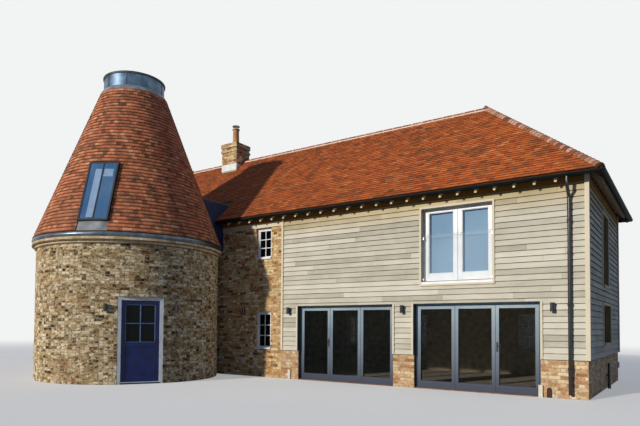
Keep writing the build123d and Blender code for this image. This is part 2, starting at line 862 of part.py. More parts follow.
# Rainwater pipes run from the gutter back to the wall and down it.
pipe_x = barn_right - pipe_from_corner
gutter_y = front_eaves + gutter_inset
pipe_y = boards_face - pipe_from_boards - pipe_radius
gutter_foot = gutter_top - gutter_radius
with BuildPart() as downpipes:
    with BuildLine():
        run = FilletPolyline(
            (pipe_x, gutter_y, gutter_foot),
            (pipe_x, gutter_y, gutter_foot - pipe_neck[0]),
            (pipe_x, pipe_y, gutter_foot - pipe_neck[1]),
            (pipe_x, pipe_y, pipe_foot),
            radius=pipe_bend,
        )
    with BuildSketch(Plane(origin=run @ 0, z_dir=run % 0)):
        Circle(pipe_radius)
        Circle(pipe_radius - pipe_wall, mode=Mode.SUBTRACT)
    sweep()
    for height in clip_heights:
        wall_face = front_y if height < plinth_top else boards_face
        block((pipe_x - clip_height / 2, pipe_x + clip_height / 2), (pipe_y, wall_face),
              (height, height + clip_height))
        with BuildSketch(Plane.XY.offset(height)):
            with Locations((pipe_x, pipe_y)):
                Circle(pipe_radius + clip_rim)
        extrude(amount=clip_height)
        with BuildSketch(Plane.XY.offset(height)):
            with Locations((pipe_x, pipe_y)):
                Circle(pipe_radius - pipe_wall)
        extrude(amount=clip_height, mode=Mode.SUBTRACT)
    mirror(about=Plane.XZ.offset(-mid_y))
    with BuildSketch():
        with Locations((barn_right + board_depth + pipe_radius + seat, soil_pipe_y)):
            Circle(pipe_radius)
    extrude(amount=soil_pipe_top)
    block((barn_right, barn_right + board_depth + pipe_radius),
          (soil_pipe_y - clip_height / 2, soil_pipe_y + clip_height / 2),
          (soil_pipe_top / 2, soil_pipe_top / 2 + clip_height))

# Link between the cone and the barn, with a top that falls to both sides under wood-cored rolls.
with BuildPart() as lead_link:
    with BuildSketch(facing_right(-link_half_width)):
        with BuildLine():
            Polyline(
                (front_y / 2, band_top),
                (front_y, band_top),
                (front_y, roof_height(front_y)),
                (front_eaves + (link_crown - eaves_z) / tan(pitch), link_crown),
                (front_y / 2, link_crown),
                close=True,
            )
        make_face()
    extrude(amount=2 * link_half_width)
    fall = atan2(link_fall, link_half_width)
    for side in (1, -1):
        top = Plane(origin=(0, 0, link_crown), x_dir=(0, 1, 0), z_dir=(side * sin(fall), 0, cos(fall)))
        split(bisect_by=top, keep=Keep.BOTTOM)
    for number in range(link_rolls):
        x = (2 * number / (link_rolls - 1) - 1) * (link_half_width - roll_radius)
        height = link_crown - abs(x) * tan(fall)
        meets_slope = front_eaves + (height + roll_radius - eaves_z) / tan(pitch)
        with BuildSketch(facing_front(front_y / 2)):
            with Locations((x, height)):
                Circle(roll_radius)
        extrude(amount=front_y / 2 - meets_slope)
    add(cone_solid.part, mode=Mode.SUBTRACT)
    add(roof_shell.part, mode=Mode.SUBTRACT)

# Chimney: a brick stack through the roof, with two oversailing bands, a clay pot and a cowl.
with BuildPart() as chimney_stack:
    block(stack_x, stack_y, (0, stack_top))
    for low, high, reach in ((stack_courses[0], stack_courses[0] + course, stack_oversail),
                             (stack_courses[1], stack_top, stack_oversail)):
        block((stack_x[0] - reach, stack_x[1] + reach), (stack_y[0] - reach, stack_y[1] + reach), (low, high))

with BuildPart() as lead_flashing:
    block((stack_x[0] - lead, stack_x[1] + lead), (stack_y[0] - lead, stack_y[1] + lead),
          (flashing_bottom, flashing_top))
    block(stack_x, stack_y, (0, stack_top), Mode.SUBTRACT)
    add(roof_outside.part, mode=Mode.SUBTRACT)
    add(ridge_tiles.part, mode=Mode.SUBTRACT)

pot_x = sum(stack_x) / 2
pot_y = sum(stack_y) / 2
with BuildPart() as chimney_pot:
    with BuildSketch(facing_front(pot_y)):
        with BuildLine():
            Polyline(
                (pot_x + pot_radius - pot_wall, stack_top),
                (pot_x + pot_radius + pot_base, stack_top),
                (pot_x + pot_radius, stack_top + 2 * pot_base),
                (pot_x + pot_radius - pot_lip, pot_top - 2 * pot_base),
                (pot_x + pot_radius + pot_lip, pot_top - pot_base),
                (pot_x + pot_radius + pot_lip, pot_top),
                (pot_x + pot_radius - pot_wall, pot_top),
                close=True,
            )
        make_face()
    revolve(axis=Axis((pot_x, pot_y, 0), (0, 0, 1)))

with BuildPart() as chimney_cowl:
    with Locations((pot_x, pot_y, pot_top + cowl_gap)):
        Cone(cowl_radius, cowl_top_radius, cowl_rise, align=(Align.CENTER, Align.CENTER, Align.MIN))
    with BuildSketch(Plane.XY.offset(pot_top)):
        with Locations((pot_x, pot_y)):
            with PolarLocations(pot_radius - pot_wall / 2, cowl_legs):
                Rectangle(cowl_leg, cowl_leg)
    extrude(amount=cowl_gap)

# Folding doors: an outer frame with three glazed leaves in each opening.
folding_face = front_y + folding_setback
leaf_width = (folding_width - 2 * folding_jamb - (leaves_each + 1) * leaf_joint) / leaves_each
leaf_pitch = leaf_width + leaf_joint
leaf_low = folding_sill + leaf_joint / 2
leaf_high = folding_head - folding_jamb - leaf_joint
leaf_edges = [
    opening[0] + folding_jamb + leaf_joint + number * leaf_pitch
    for opening in folding_openings for number in range(leaves_each)
]

with BuildPart() as folding_frames:
    with BuildSketch(facing_front(folding_face)):
        for opening in folding_openings:
            panel(opening, (0, folding_head))
            panel(grown(opening, -folding_jamb), (folding_sill, folding_head - folding_jamb), Mode.SUBTRACT)
    extrude(amount=-folding_depth)

with BuildPart() as folding_leaves:
    with BuildSketch(facing_front(folding_face)):
        for left in leaf_edges:
            panel((left, left + leaf_width), (leaf_low, leaf_high))
            panel((left + leaf_member, left + leaf_width - leaf_member),
                  (leaf_low + leaf_bottom_rail, leaf_high - leaf_member), Mode.SUBTRACT)
    extrude(amount=-folding_depth)

opening_stiles = ((leaf_edges[0] + leaf_width - leaf_member / 2, -1), (leaf_edges[-1] + leaf_member / 2, 1))
folding_levers = [
    lever_handle(facing_front(folding_face), 1, (x, spindle_height), hand) for x, hand in opening_stiles
]
with BuildPart() as folding_handles:
    add(folding_levers)

# White joinery: the upper casement pair and the small windows, each with its sill.
casement_face = front_y + casement_setback
casement_middle = sum(casement_x) / 2
casement_lights = (
    (casement_x[0] + casement_stile, casement_middle - casement_meeting / 2),
    (casement_middle + casement_meeting / 2, casement_x[1] - casement_stile),
)
casement_sill_top = casement_z[0] + sill_height
casement_light_z = (casement_sill_top + casement_rail, casement_z[1] - casement_head)
window_face = front_y + window_setback
with BuildPart() as casement_frame:
    with BuildSketch(facing_front(casement_face)):
        panel(casement_x, casement_z)
        for light in casement_lights:
            panel(light, casement_light_z, Mode.SUBTRACT)
    extrude(amount=-joinery_depth)
    block(casement_x, (front_y - sill_reach, casement_face), (casement_z[0], casement_sill_top))

with BuildPart() as window_frames:
    for face, inward, columns in ((window_face, -1, narrow_columns),
                                  (back_y - window_setback, 1, back_columns)):
        with BuildSketch(facing_front(face)):
            for column in columns:
                for row in window_rows:
                    frame_and_sash(column, row, window_member)
        extrude(amount=inward * joinery_depth)
        for column in columns:
            for row in window_rows:
                sill_front = face + inward * (window_setback + sill_reach)
                block(column, sorted((face, sill_front)), (row[0], row[0] + sill_height))
    for face, inward in ((barn_right, -1), (barn_left, 1)):
        with BuildSketch(facing_right(face + inward * window_setback)):
            for across, up in end_openings:
                frame_and_sash(across, up, window_member, window_member, 2)
        extrude(amount=inward * joinery_depth)
        for across, up in end_openings:
            sill_front = face - inward * (sill_reach + board_depth)
            block(sorted((face + inward * window_setback, sill_front)), across, (up[0], up[0] + sill_height))

# Glass: one sheet in each light of the barn, and the guard before the casement.
with BuildPart() as barn_glass:
    with BuildSketch(facing_front(folding_face + (folding_depth - pane) / 2)):
        for left in leaf_edges:
            panel((left + leaf_member, left + leaf_width - leaf_member),
                  (leaf_low + leaf_bottom_rail, leaf_high - leaf_member))
    extrude(amount=-pane)
    with BuildSketch(facing_front(casement_face + pane_seat)):
        for light in casement_lights:
            panel(light, casement_light_z)
    extrude(amount=-pane)
    for face, inward, columns in ((window_face, -1, narrow_columns),
                                  (back_y - window_setback, 1, back_columns)):
        with BuildSketch(facing_front(face - inward * pane_seat)):
            for column in columns:
                for row in window_rows:
                    panel((column[0] + window_member, column[1] - window_member),
                          (row[0] + window_member, row[1] - window_member))
        extrude(amount=inward * pane)
    for face, inward in ((barn_right, -1), (barn_left, 1)):
        with BuildSketch(facing_right(face + inward * (window_setback + pane_seat))):
            for across, up in end_openings:
                light = (across[1] - across[0] - 3 * window_member) / 2
                for number in range(2):
                    start = across[0] + window_member + number * (light + window_member)
                    panel((start, start + light), (up[0] + window_member, up[1] - window_member))
        extrude(amount=inward * pane)

with BuildPart() as guard_glass:
    with BuildSketch(facing_front(front_y + guard_setback)):
        panel(casement_x, (casement_sill_top, guard_top))
    extrude(amount=-guard_thickness)

# Fittings on the walls.
with BuildPart() as wall_lamps:
    for x in barn_lamps_x:
        face = front_y if x < boards_left else boards_face
        with Locations((x, face - lamp_gap - lamp_radius, lamp_z)):
            Cylinder(lamp_radius, lamp_height)
        block((x - lamp_gap, x + lamp_gap), (face - lamp_gap - lamp_radius, face),
              (lamp_z - 2 * lamp_gap, lamp_z + 2 * lamp_gap))
    for azimuth in kiln_lamps_azimuth:
        out = Vector(cos(radians(azimuth)), sin(radians(azimuth)), 0)
        side = Vector(-out.Y, out.X, 0)
        centre = out * (kiln_radius + lamp_gap + lamp_radius) + Vector(0, 0, lamp_z)
        with Locations(centre):
            Cylinder(lamp_radius, lamp_height)
        foot = out * (kiln_radius - lamp_bed) + Vector(0, 0, lamp_z)
        with BuildSketch(Plane(origin=foot, x_dir=side, z_dir=out)):
            Rectangle(2 * lamp_gap, 4 * lamp_gap)
        extrude(amount=lamp_gap + lamp_radius)
    for name in ("kiln_wall_left", "kiln_wall_right"):
        add(kiln_walls[name], mode=Mode.SUBTRACT)

slot_pitch = vent_size / (vent_slots + 1)
with BuildPart() as wall_vents:
    with BuildSketch(facing_front(front_y)):
        with Locations((vent_x, vent_z)):
            Rectangle(vent_size, vent_size)
        with BuildLine():
            base = arch_vent_x - arch_vent_width / 2
            Polyline((base, arch_vent_height - arch_vent_width / 2), (base, 0), (base + arch_vent_width, 0),
                     (base + arch_vent_width, arch_vent_height - arch_vent_width / 2))
            ThreePointArc((base, arch_vent_height - arch_vent_width / 2), (arch_vent_x, arch_vent_height),
                          (base + arch_vent_width, arch_vent_height - arch_vent_width / 2))
        make_face()
    extrude(amount=vent_depth)
    with BuildSketch(facing_front(front_y - vent_depth)):
        with Locations((vent_x, vent_z)):
            with GridLocations(0, slot_pitch, 1, vent_slots):
                Rectangle(vent_slot_length, slot_pitch / 2)
    extrude(amount=-vent_depth / 2, mode=Mode.SUBTRACT)
    block((barn_right, barn_right + 2 * vent_depth),
          (end_box_y - vent_size / 2, end_box_y + vent_size / 2), end_box_z)

with BuildPart() as service_boxings:
    for x in boxing_x:
        block((x - boxing_width / 2, x + boxing_width / 2),
              (front_y - trim_depth, front_y), (0, boxing_height))

pieces = {
    "ground_floors": ground_floors.part,
    **kiln_walls,
    "kiln_door_head": kiln_door_head.part,
    "kiln_corbels": kiln_corbels.part,
    "kiln_eaves_band": kiln_eaves_band.part,
    "kiln_cone": kiln_cone.part,
    "kiln_drum": kiln_drum.part,
    "drum_cap": drum_cap.part,
    "skylight_frame": skylight_frame.part,
    "skylight_glass": skylight_glass.part,
    "skylight_apron": skylight_apron.part,
    "door_frame": door_frame.part,
    "door_hinges": door_hinges.part,
    "door_leaf": door_leaf.part,
    "door_glass": door_glass.part,
    "door_furniture": door_furniture.part,
    "front_wall_left": front_wall_left.part,
    "front_piers": front_piers.part,
    "front_wall_upper": front_wall_upper.part,
    "back_wall": back_wall.part,
    "end_walls": end_walls.part,
    "upper_floor": upper_floor.part,
    "front_boards": front_boards.part,
    "right_boards": right_boards.part,
    "back_boards": back_boards.part,
    "oak_trim": oak_trim.part,
    "wall_plates": wall_plates.part,
    **roofs,
    "ridge_tiles": ridge_tiles.part,
    "hip_tiles": hip_tiles.part,
    "rafter_feet": rafter_feet.part,
    "gutters": gutters.part,
    "downpipes": downpipes.part,
    "lead_link": lead_link.part,
    "chimney_stack": chimney_stack.part,
    "lead_flashing": lead_flashing.part,
    "chimney_pot": chimney_pot.part,
    "chimney_cowl": chimney_cowl.part,
    "folding_frames": folding_frames.part,
    "folding_leaves": folding_leaves.part,
    "folding_handles": folding_handles.part,
    "casement_frame": casement_frame.part,
    "guard_glass": guard_glass.part,
    "window_frames": window_frames.part,
    "barn_glass": barn_glass.part,
    "wall_lamps": wall_lamps.part,
    "wall_vents": wall_vents.part,
    "service_boxings": service_boxings.part,
}
for name, part in pieces.items():
    save(name, part)
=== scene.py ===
import math
import random

import bmesh
import bpy
import numpy as np
from mathutils import Matrix, Vector


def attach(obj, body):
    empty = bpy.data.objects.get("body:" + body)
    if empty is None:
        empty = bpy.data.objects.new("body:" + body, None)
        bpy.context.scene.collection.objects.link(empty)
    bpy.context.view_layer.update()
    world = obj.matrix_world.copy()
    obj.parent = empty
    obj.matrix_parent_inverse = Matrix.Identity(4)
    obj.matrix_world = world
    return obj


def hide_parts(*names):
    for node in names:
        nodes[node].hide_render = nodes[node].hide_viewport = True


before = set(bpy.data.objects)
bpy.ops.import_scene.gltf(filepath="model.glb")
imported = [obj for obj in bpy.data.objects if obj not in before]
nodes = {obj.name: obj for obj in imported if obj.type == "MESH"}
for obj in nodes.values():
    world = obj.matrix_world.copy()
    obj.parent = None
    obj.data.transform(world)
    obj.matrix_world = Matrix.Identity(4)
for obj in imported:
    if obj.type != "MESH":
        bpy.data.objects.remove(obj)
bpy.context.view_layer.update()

scene = bpy.context.scene
random.seed(31)

# Camera: eye height, to the right of the door side, looking slightly up along the long front.
camera = {
    "place": (13.031, -9.760, 1.392),
    "lens": 30.80,
    "sensor": 36,
    "yaw": 34.086,
    "pitch": 1.936,
    "roll": 0.391,
    "shiftUp": 0.150,
    "reach": 400,
}
yaw, pitch, roll = (math.radians(camera[key]) for key in ("yaw", "pitch", "roll"))
ahead = Vector((-math.sin(yaw) * math.cos(pitch), math.cos(yaw) * math.cos(pitch), math.sin(pitch)))
level = Vector((math.cos(yaw), math.sin(yaw), 0))
upright = level.cross(ahead)
across = math.cos(roll) * level + math.sin(roll) * upright
above = math.cos(roll) * upright - math.sin(roll) * level
eye = bpy.data.objects.new("eyeLevelCamera", bpy.data.cameras.new("eyeLevelCamera"))
eye.matrix_world = Matrix((across, above, -ahead)).transposed().to_4x4()
eye.location = camera["place"]
eye.data.sensor_width = camera["sensor"]
eye.data.lens = camera["lens"]
eye.data.shift_y = camera["shiftUp"]
eye.data.clip_end = camera["reach"]
scene.collection.objects.link(eye)
scene.camera = eye
print("camera placed")


# Nodes and colours
def hexColour(code):  # sRGB hex to the linear colour that the sockets take
    channels = [int(code[place:place + 2], 16) / 255 for place in (0, 2, 4)]
    return [c / 12.92 if c <= 0.04045 else ((c + 0.055) / 1.055) ** 2.4 for c in channels] + [1.0]


def perMetre(millimetres):  # a pattern's scale from the real size of one of its patches
    return 1000 / millimetres


def setInputs(tree, node, inputs):  # a node given as a value stands for the first of its outputs that is in use
    for key, value in inputs.items():
        if isinstance(value, bpy.types.Node):
            value = next(socket for socket in value.outputs if socket.enabled)
        if isinstance(value, bpy.types.NodeSocket):
            tree.links.new(value, node.inputs[key])
        else:
            node.inputs[key].default_value = value


def addNode(tree, kind, inputs=None, stops=(), **settings):
    node = tree.nodes.new("ShaderNode" + kind)
    for key, value in settings.items():
        setattr(node, key, value)
    setInputs(tree, node, inputs or {})
    for number, (place, code) in enumerate(stops):
        marks = node.color_ramp.elements
        mark = marks[number] if number < len(marks) else marks.new(1.0)
        mark.position, mark.color = place, hexColour(code)
    return node


def startFinish(name, settings):
    material = bpy.data.materials.new(name)
    material.use_nodes = True
    tree = material.node_tree
    setInputs(tree, tree.nodes["Principled BSDF"], settings)
    return material, tree, addNode(tree, "TexCoord").outputs


def joinFinish(tree, colour, height, depth, strength):
    relief = addNode(tree, "Bump", {"Height": height, "Distance": depth, "Strength": strength})
    setInputs(tree, tree.nodes["Principled BSDF"], {"Base Color": colour, "Normal": relief})


def layOver(tree, under, value, span, amount, code, blend="MIX"):
    # one colour over another: none where the value is at the span's start, its full amount at the span's end
    mask = addNode(tree, "MapRange", {"Value": value, "From Min": span[0], "From Max": span[1], "To Max": amount})
    return addNode(tree, "Mix", {0: mask, 6: under, 7: hexColour(code)}, data_type="RGBA", blend_type=blend)


def upCourse(tree, height, lap):
    # how far up its own course a point is, from 0 at the foot to 1 at the head
    climb = addNode(tree, "Math", {0: height, 1: lap["foot"]}, operation="SUBTRACT")
    courses = addNode(tree, "Math", {0: climb, 1: lap["step"]}, operation="DIVIDE")
    return addNode(tree, "Math", {0: courses}, operation="FRACT")


def firedClay(name, tones, layers, grit, depth, roughness, tail, lap=None):
    # each brick or tile has its own firing colour, broken up by patches and specks; soot, blooms and lichen lie on it
    material, tree, place = startFinish(name, {"Roughness": roughness, "Diffuse Roughness": 0.9,
                                               "Specular IOR Level": 0.3})
    spot = place["Object"]
    drawn = addNode(tree, "Mapping", {"Vector": spot, "Scale": (1, 1, grit["squeeze"])})
    shade = addNode(tree, "Attribute", attribute_name="tone").outputs["Fac"]
    for vector, size, amount, detail in ((drawn, grit["patch"], grit["blotch"], 3.0),
                                         (spot, grit["speck"], grit["speckle"], 2.0)):
        cloud = addNode(tree, "TexNoise", {"Vector": vector, "Scale": perMetre(size), "Detail": detail})
        shade = addNode(tree, "Math", {0: cloud, 1: amount, 2: shade}, operation="MULTIPLY_ADD")
    base = addNode(tree, "Math", {0: shade, 1: (grit["blotch"] + grit["speckle"]) / 2}, operation="SUBTRACT")
    colour = addNode(tree, "ValToRGB", {"Fac": base}, stops=tones)
    for size, start, soft, amount, code in layers:
        cloud = addNode(tree, "TexNoise", {"Vector": drawn, "Scale": perMetre(size), "Detail": 4.0})
        colour = layOver(tree, colour, cloud, (start, start + soft), amount, code)
    facing = addNode(tree, "SeparateXYZ", {0: place["Normal"]}).outputs["Z"]  # painted shade and dirt on faces that look down
    colour = layOver(tree, colour, facing, (-0.25, -0.6), tail["amount"], tail["colour"])
    if lap:  # painted shadow and dirt along each course, just above its tails
        height = addNode(tree, "SeparateXYZ", {0: spot}).outputs["Z"]
        colour = layOver(tree, colour, upCourse(tree, height, lap), (lap["share"], lap["share"] * 0.4),
                         lap["amount"], lap["colour"])
    grain = addNode(tree, "TexNoise", {"Vector": spot, "Scale": perMetre(grit["size"]), "Detail": 4.0})
    joinFinish(tree, colour, grain, depth, 0.7)
    return material


def evenFinish(name, colours, patch, grit, depth, settings, fade=None):
    # a surface of one kind, lighter and darker in soft patches, with a fine relief; some darken towards the foot with
    # painted shade
    material, tree, place = startFinish(name, settings)
    spot = place["Object"]
    cloud = addNode(tree, "TexNoise", {"Vector": spot, "Scale": perMetre(patch), "Detail": 4.0})
    stops = [(0.3 + 0.4 * number / (len(colours) - 1), code) for number, code in enumerate(colours)]
    colour = addNode(tree, "ValToRGB", {"Fac": cloud}, stops=stops)
    if fade:
        height = addNode(tree, "SeparateXYZ", {0: spot}).outputs["Z"]
        colour = layOver(tree, colour, height, (fade["from"], fade["to"]), fade["amount"], fade["colour"])
    grain = addNode(tree, "TexNoise", {"Vector": spot, "Scale": perMetre(grit), "Detail": 3.0})
    joinFinish(tree, colour, grain, depth, 0.5)
    return material


def grainedWood(name, tones, along, grain, streak, depth, roughness, lap=None):
    # long grain: the noise is drawn out along the board, over each board's own tone
    material, tree, place = startFinish(name, {"Roughness": roughness, "Specular IOR Level": 0.25})
    spot = place["Object"]
    drawn = addNode(tree, "Mapping", {"Vector": spot, "Scale": [0.03 if axis == along else 1.0 for axis in range(3)]})
    tone = addNode(tree, "Attribute", attribute_name="tone").outputs["Fac"]
    fibre = addNode(tree, "TexNoise", {"Vector": drawn, "Scale": perMetre(grain), "Detail": 4.0})
    weather = addNode(tree, "TexNoise", {"Vector": spot, "Scale": perMetre(streak), "Detail": 3.0})
    mixed = addNode(tree, "Math", {0: fibre, 1: 0.45, 2: tone}, operation="MULTIPLY_ADD")
    placed = addNode(tree, "Math", {0: weather, 1: 0.35, 2: mixed}, operation="MULTIPLY_ADD")
    centred = addNode(tree, "Math", {0: placed, 1: 0.15}, operation="SUBTRACT")
    colour = addNode(tree, "ValToRGB", {"Fac": centred}, stops=tones)
    if lap:
        # the boards keep their new colour under the eaves; where each covers the next one down they carry painted
        # shadow and dirt, and their undersides painted shade
        height = addNode(tree, "SeparateXYZ", {0: spot}).outputs["Z"]
        colour = layOver(tree, colour, height, (lap["dryFrom"], lap["dryTo"]), lap["dry"], lap["dryColour"], "MULTIPLY")
        lapShadowAndDirt = addNode(tree, "MapRange", {"Value": upCourse(tree, height, lap), "From Min": lap["from"],
                                           "From Max": lap["to"], "To Max": lap["amount"]})
        facing = addNode(tree, "SeparateXYZ", {0: place["Normal"]}).outputs["Z"]
        under = addNode(tree, "MapRange", {"Value": facing, "From Min": -0.4, "From Max": -0.8,
                                           "To Max": lap["underside"]})
        either = addNode(tree, "Math", {0: lapShadowAndDirt, 1: under}, operation="MAXIMUM")
        colour = addNode(tree, "Mix", {0: either, 6: colour, 7: hexColour(lap["colour"])}, data_type="RGBA")
    joinFinish(tree, colour, fibre, depth, 0.6)
    return material


# Yellow stock brick, hand thrown and clamp fired: buff to brown, some red, a few burnt dark, rough faces.
# Each layer that lies on a clay: patch in mm, where it starts, how soft its edge is, how much shows, its colour.
kilnStock = firedClay(
    "kilnStockBrick",
    [(0.0, "32271A"), (0.10, "6A5036"), (0.20, "A67C50"), (0.34, "BCA070"), (0.54, "D8C08E"), (0.74, "F2E0B4"),
     (0.92, "FFF4D8")],
    [(900, 0.50, 0.25, 0.3, "8A7A58"), (420, 0.53, 0.12, 0.45, "C88E52"), (220, 0.55, 0.08, 0.7, "FFF2D0"),
     (150, 0.57, 0.08, 0.5, "7A7250"), (80, 0.57, 0.06, 0.85, "3C2E1C")],
    {"size": 45, "squeeze": 1.6, "patch": 90, "blotch": 1.4, "speck": 24, "speckle": 0.9}, 0.016, 0.9,
    {"amount": 0.3, "colour": "4A3C28"})
barnStock = firedClay(
    "barnStockBrick",
    [(0.0, "724A2B"), (0.12, "AB6F42"), (0.24, "D28F55"), (0.38, "D3AA6F"), (0.58, "E1C387"), (0.78, "F0D8A5"),
     (0.94, "FFF2CD")],
    [(1100, 0.50, 0.25, 0.3, "8A734E"), (240, 0.55, 0.10, 0.45, "B4733C"), (150, 0.58, 0.08, 0.45, "E6D6B0"),
     (70, 0.58, 0.07, 0.7, "5E4228")],
    {"size": 45, "squeeze": 1.6, "patch": 90, "blotch": 1.1, "speck": 24, "speckle": 0.8}, 0.012, 0.9,
    {"amount": 0.4, "colour": "5A4630"})
# The piers and plinth by the folding doors are of a paler, pinker batch.
pierStock = firedClay(
    "pinkStockBrick",
    [(0.0, "AA7A50"), (0.14, "C49264"), (0.26, "D0A276"), (0.40, "D6B288"), (0.58, "DFC398"), (0.78, "E7D0A8"),
     (0.94, "F0DFBE")],
    [(1100, 0.50, 0.25, 0.35, "96805A"), (240, 0.55, 0.10, 0.45, "BE7E46"), (150, 0.58, 0.08, 0.3, "E6D6B4"),
     (70, 0.58, 0.07, 0.6, "6E5034")],
    {"size": 45, "squeeze": 1.6, "patch": 90, "blotch": 1.0, "speck": 24, "speckle": 0.8}, 0.012, 0.9,
    {"amount": 0.4, "colour": "5A4630"})
# Gault brick in the two oversailing courses: pale, even and smooth, with painted shadow along the lower part of each
# course and on faces that look down.
gaultBrick = firedClay(
    "gaultBrick",
    [(0.0, "D8BE8C"), (0.4, "F0D8A8"), (0.7, "FAE8C2"), (1.0, "FFF4DA")],
    [(900, 0.50, 0.25, 0.2, "C0AA80"), (200, 0.55, 0.10, 0.5, "E6A468"), (60, 0.64, 0.08, 0.4, "7E7050")],
    {"size": 5, "squeeze": 1.0, "patch": 70, "blotch": 0.3, "speck": 20, "speckle": 0.2}, 0.002, 0.85,
    {"amount": 0.8, "colour": "2A2218"},
    {"foot": 3.370, "step": 0.075, "share": 0.36, "amount": 0.95, "colour": "1E170E"})

# Plain clay tiles, hand made and wood fired: orange to plum, lichen in flecks, with painted shade along the tails.
coneClay = firedClay(
    "coneTileClay",
    [(0.0, "6E543C"), (0.16, "AA6846"), (0.36, "D2825A"), (0.55, "EA9466"), (0.78, "F6A878"), (1.0, "FFC49A")],
    [(1300, 0.50, 0.25, 0.45, "A67A58"), (300, 0.54, 0.08, 0.55, "6A563A"), (190, 0.58, 0.08, 0.4, "D45A2C")],
    {"size": 60, "squeeze": 2.2, "patch": 120, "blotch": 0.4, "speck": 35, "speckle": 0.35}, 0.012, 0.85,
    {"amount": 0.85, "colour": "3A2018"},
    {"foot": 3.661, "step": 0.09342, "share": 0.42, "amount": 0.66, "colour": "3A2A1C"})
barnClay = firedClay(
    "barnTileClay",
    [(0.0, "6E3C20"), (0.18, "93451F"), (0.4, "AC5525"), (0.6, "BC622B"), (0.8, "C46C34"), (1.0, "CC7E48")],
    [(1700, 0.50, 0.25, 0.35, "8A4824"), (460, 0.52, 0.10, 0.6, "684628"), (240, 0.57, 0.08, 0.4, "C06226"),
     (150, 0.57, 0.07, 0.5, "54402A")],
    {"size": 5, "squeeze": 2.6, "patch": 120, "blotch": 0.4, "speck": 35, "speckle": 0.3}, 0.002, 0.85,
    {"amount": 0.85, "colour": "431E10"})
bonnetClay = firedClay(
    "bonnetClay",
    [(0.0, "7A4630"), (0.4, "A06C50"), (0.7, "B88870"), (1.0, "CCA490")],
    [(900, 0.50, 0.25, 0.3, "7E5C48"), (60, 0.58, 0.08, 0.5, "6A5C42")],
    {"size": 5, "squeeze": 1.0, "patch": 60, "blotch": 0.35, "speck": 20, "speckle": 0.3}, 0.002, 0.85,
    {"amount": 0.9, "colour": "24140E"})
ridgeClay = firedClay(
    "ridgeClay",
    [(0.0, "803820"), (0.5, "A04C2A"), (1.0, "B4623A")],
    [(900, 0.50, 0.25, 0.4, "6E4632"), (60, 0.58, 0.08, 0.5, "6A5C42")],
    {"size": 5, "squeeze": 1.0, "patch": 60, "blotch": 0.3, "speck": 20, "speckle": 0.3}, 0.002, 0.85,
    {"amount": 0.5, "colour": "3A2218"})

# Lime mortar, struck flush: a pale sandy ground that shows in every joint.
limeMortar = evenFinish("limeMortar", ["948668", "B0A284", "C6B899"], 160, 3, 0.002,
                        {"Roughness": 0.95, "Specular IOR Level": 0.2})
ridgeMortar = evenFinish("ridgeMortar", ["D0B49E", "E2CAB6", "F2DECC"], 120, 4, 0.003,
                         {"Roughness": 0.95, "Specular IOR Level": 0.2})
# The hips' bedding mortar is painted dark brown as the shade under the bonnets.
hipMortar = evenFinish("shadedHipMortar", ["3A241A", "4C3226", "604436"], 120, 4, 0.003,
                       {"Roughness": 0.95, "Specular IOR Level": 0.2})

# Feather-edged oak, sawn and left to weather: silver and cream with the saw's grain, with painted shadow and dirt at
# the laps.
boardTones = [(0.0, "8C8876"), (0.3, "AEAA98"), (0.5, "C8C4B2"), (0.7, "DAD6C6"), (1.0, "EEEAE0")]
boardLap = {"foot": 0.774, "step": 0.126, "from": 0.84, "amount": 0.9, "colour": "37332A",
            "to": 0.98, "underside": 0.85, "dryFrom": 3.8, "dryTo": 4.32, "dry": 0.8, "dryColour": "E2CA90"}
frontOak = grainedWood("weatheredOakLengthwise", boardTones, 0, 9, 500, 0.0015, 0.85, boardLap)
sideOak = grainedWood("weatheredOakSideways", boardTones, 1, 9, 500, 0.0015, 0.85, boardLap)
# Planed oak trim, newer and paler than the boards.
trimOak = grainedWood("planedOakTrim", [(0.0, "D0C5AA"), (0.5, "E9E0C8"), (1.0, "FAF4E3")], 2, 7, 400, 0.001, 0.75)
# Softwood under the eaves, dark with age and darkened further as painted shade; the sawn ends of the rafters stay pale.
eavesWood = grainedWood("agedSoftwoodPaintedShade", [(0.0, "3E2A12"), (0.5, "614520"), (1.0, "84622F")], 0, 12, 300, 0.001, 0.85)
# The frieze board's gold brown is painted shade under the eaves.
friezeOak = grainedWood("friezeOakPaintedShade", [(0.0, "74501E"), (0.5, "A87A34"), (1.0, "CC9C50")], 0, 12, 300, 0.001, 0.8)
rafterWood = grainedWood("rafterSoftwood", [(0.0, "D0B888"), (0.5, "E8D6B0"), (1.0, "F8ECD0")], 1, 10, 300, 0.001, 0.8)
floorWood = grainedWood("oiledFloorboards", [(0.0, "5E4426"), (0.5, "86653C"), (1.0, "A9865A")], 0, 14, 300, 0.001, 0.5)
greenOak = grainedWood("olivePaintedOak", [(0.0, "4A4630"), (0.5, "66603F"), (1.0, "857A55")], 2, 8, 300, 0.001, 0.6)
brownOak = grainedWood("brownRevealOak", [(0.0, "7C6E46"), (0.5, "9A8A5C"), (1.0, "B6A476")], 2, 8, 300, 0.001, 0.7)
# Oak lining boards in the casement's reveals, still green from the saw and in shade all day.
liningOak = grainedWood("revealOak", [(0.0, "8E8E74"), (0.5, "ABAA90"), (1.0, "C4C2AC")], 2, 8, 300, 0.001, 0.8)

# Zinc sheet, rolled and dulled: a blue-grey metal with a soft sheen; the drum's is bluer and darker as a painted sky
# reflection.
drumZinc = evenFinish("dulledZincPaintedSkyReflection", ["36485E", "4A6078", "668096"], 350, 8, 0.0006,
                      {"Metallic": 0.65, "Roughness": 0.42})
bandZinc = evenFinish("paintedZincBand", ["3A444E", "505A64", "687480"], 300, 6, 0.0008,
                      {"Metallic": 0.85, "Roughness": 0.34})
capZinc = evenFinish("darkZincCap", ["1E262C", "28323A", "36424A"], 300, 8, 0.0006,
                     {"Metallic": 0.5, "Roughness": 0.5})
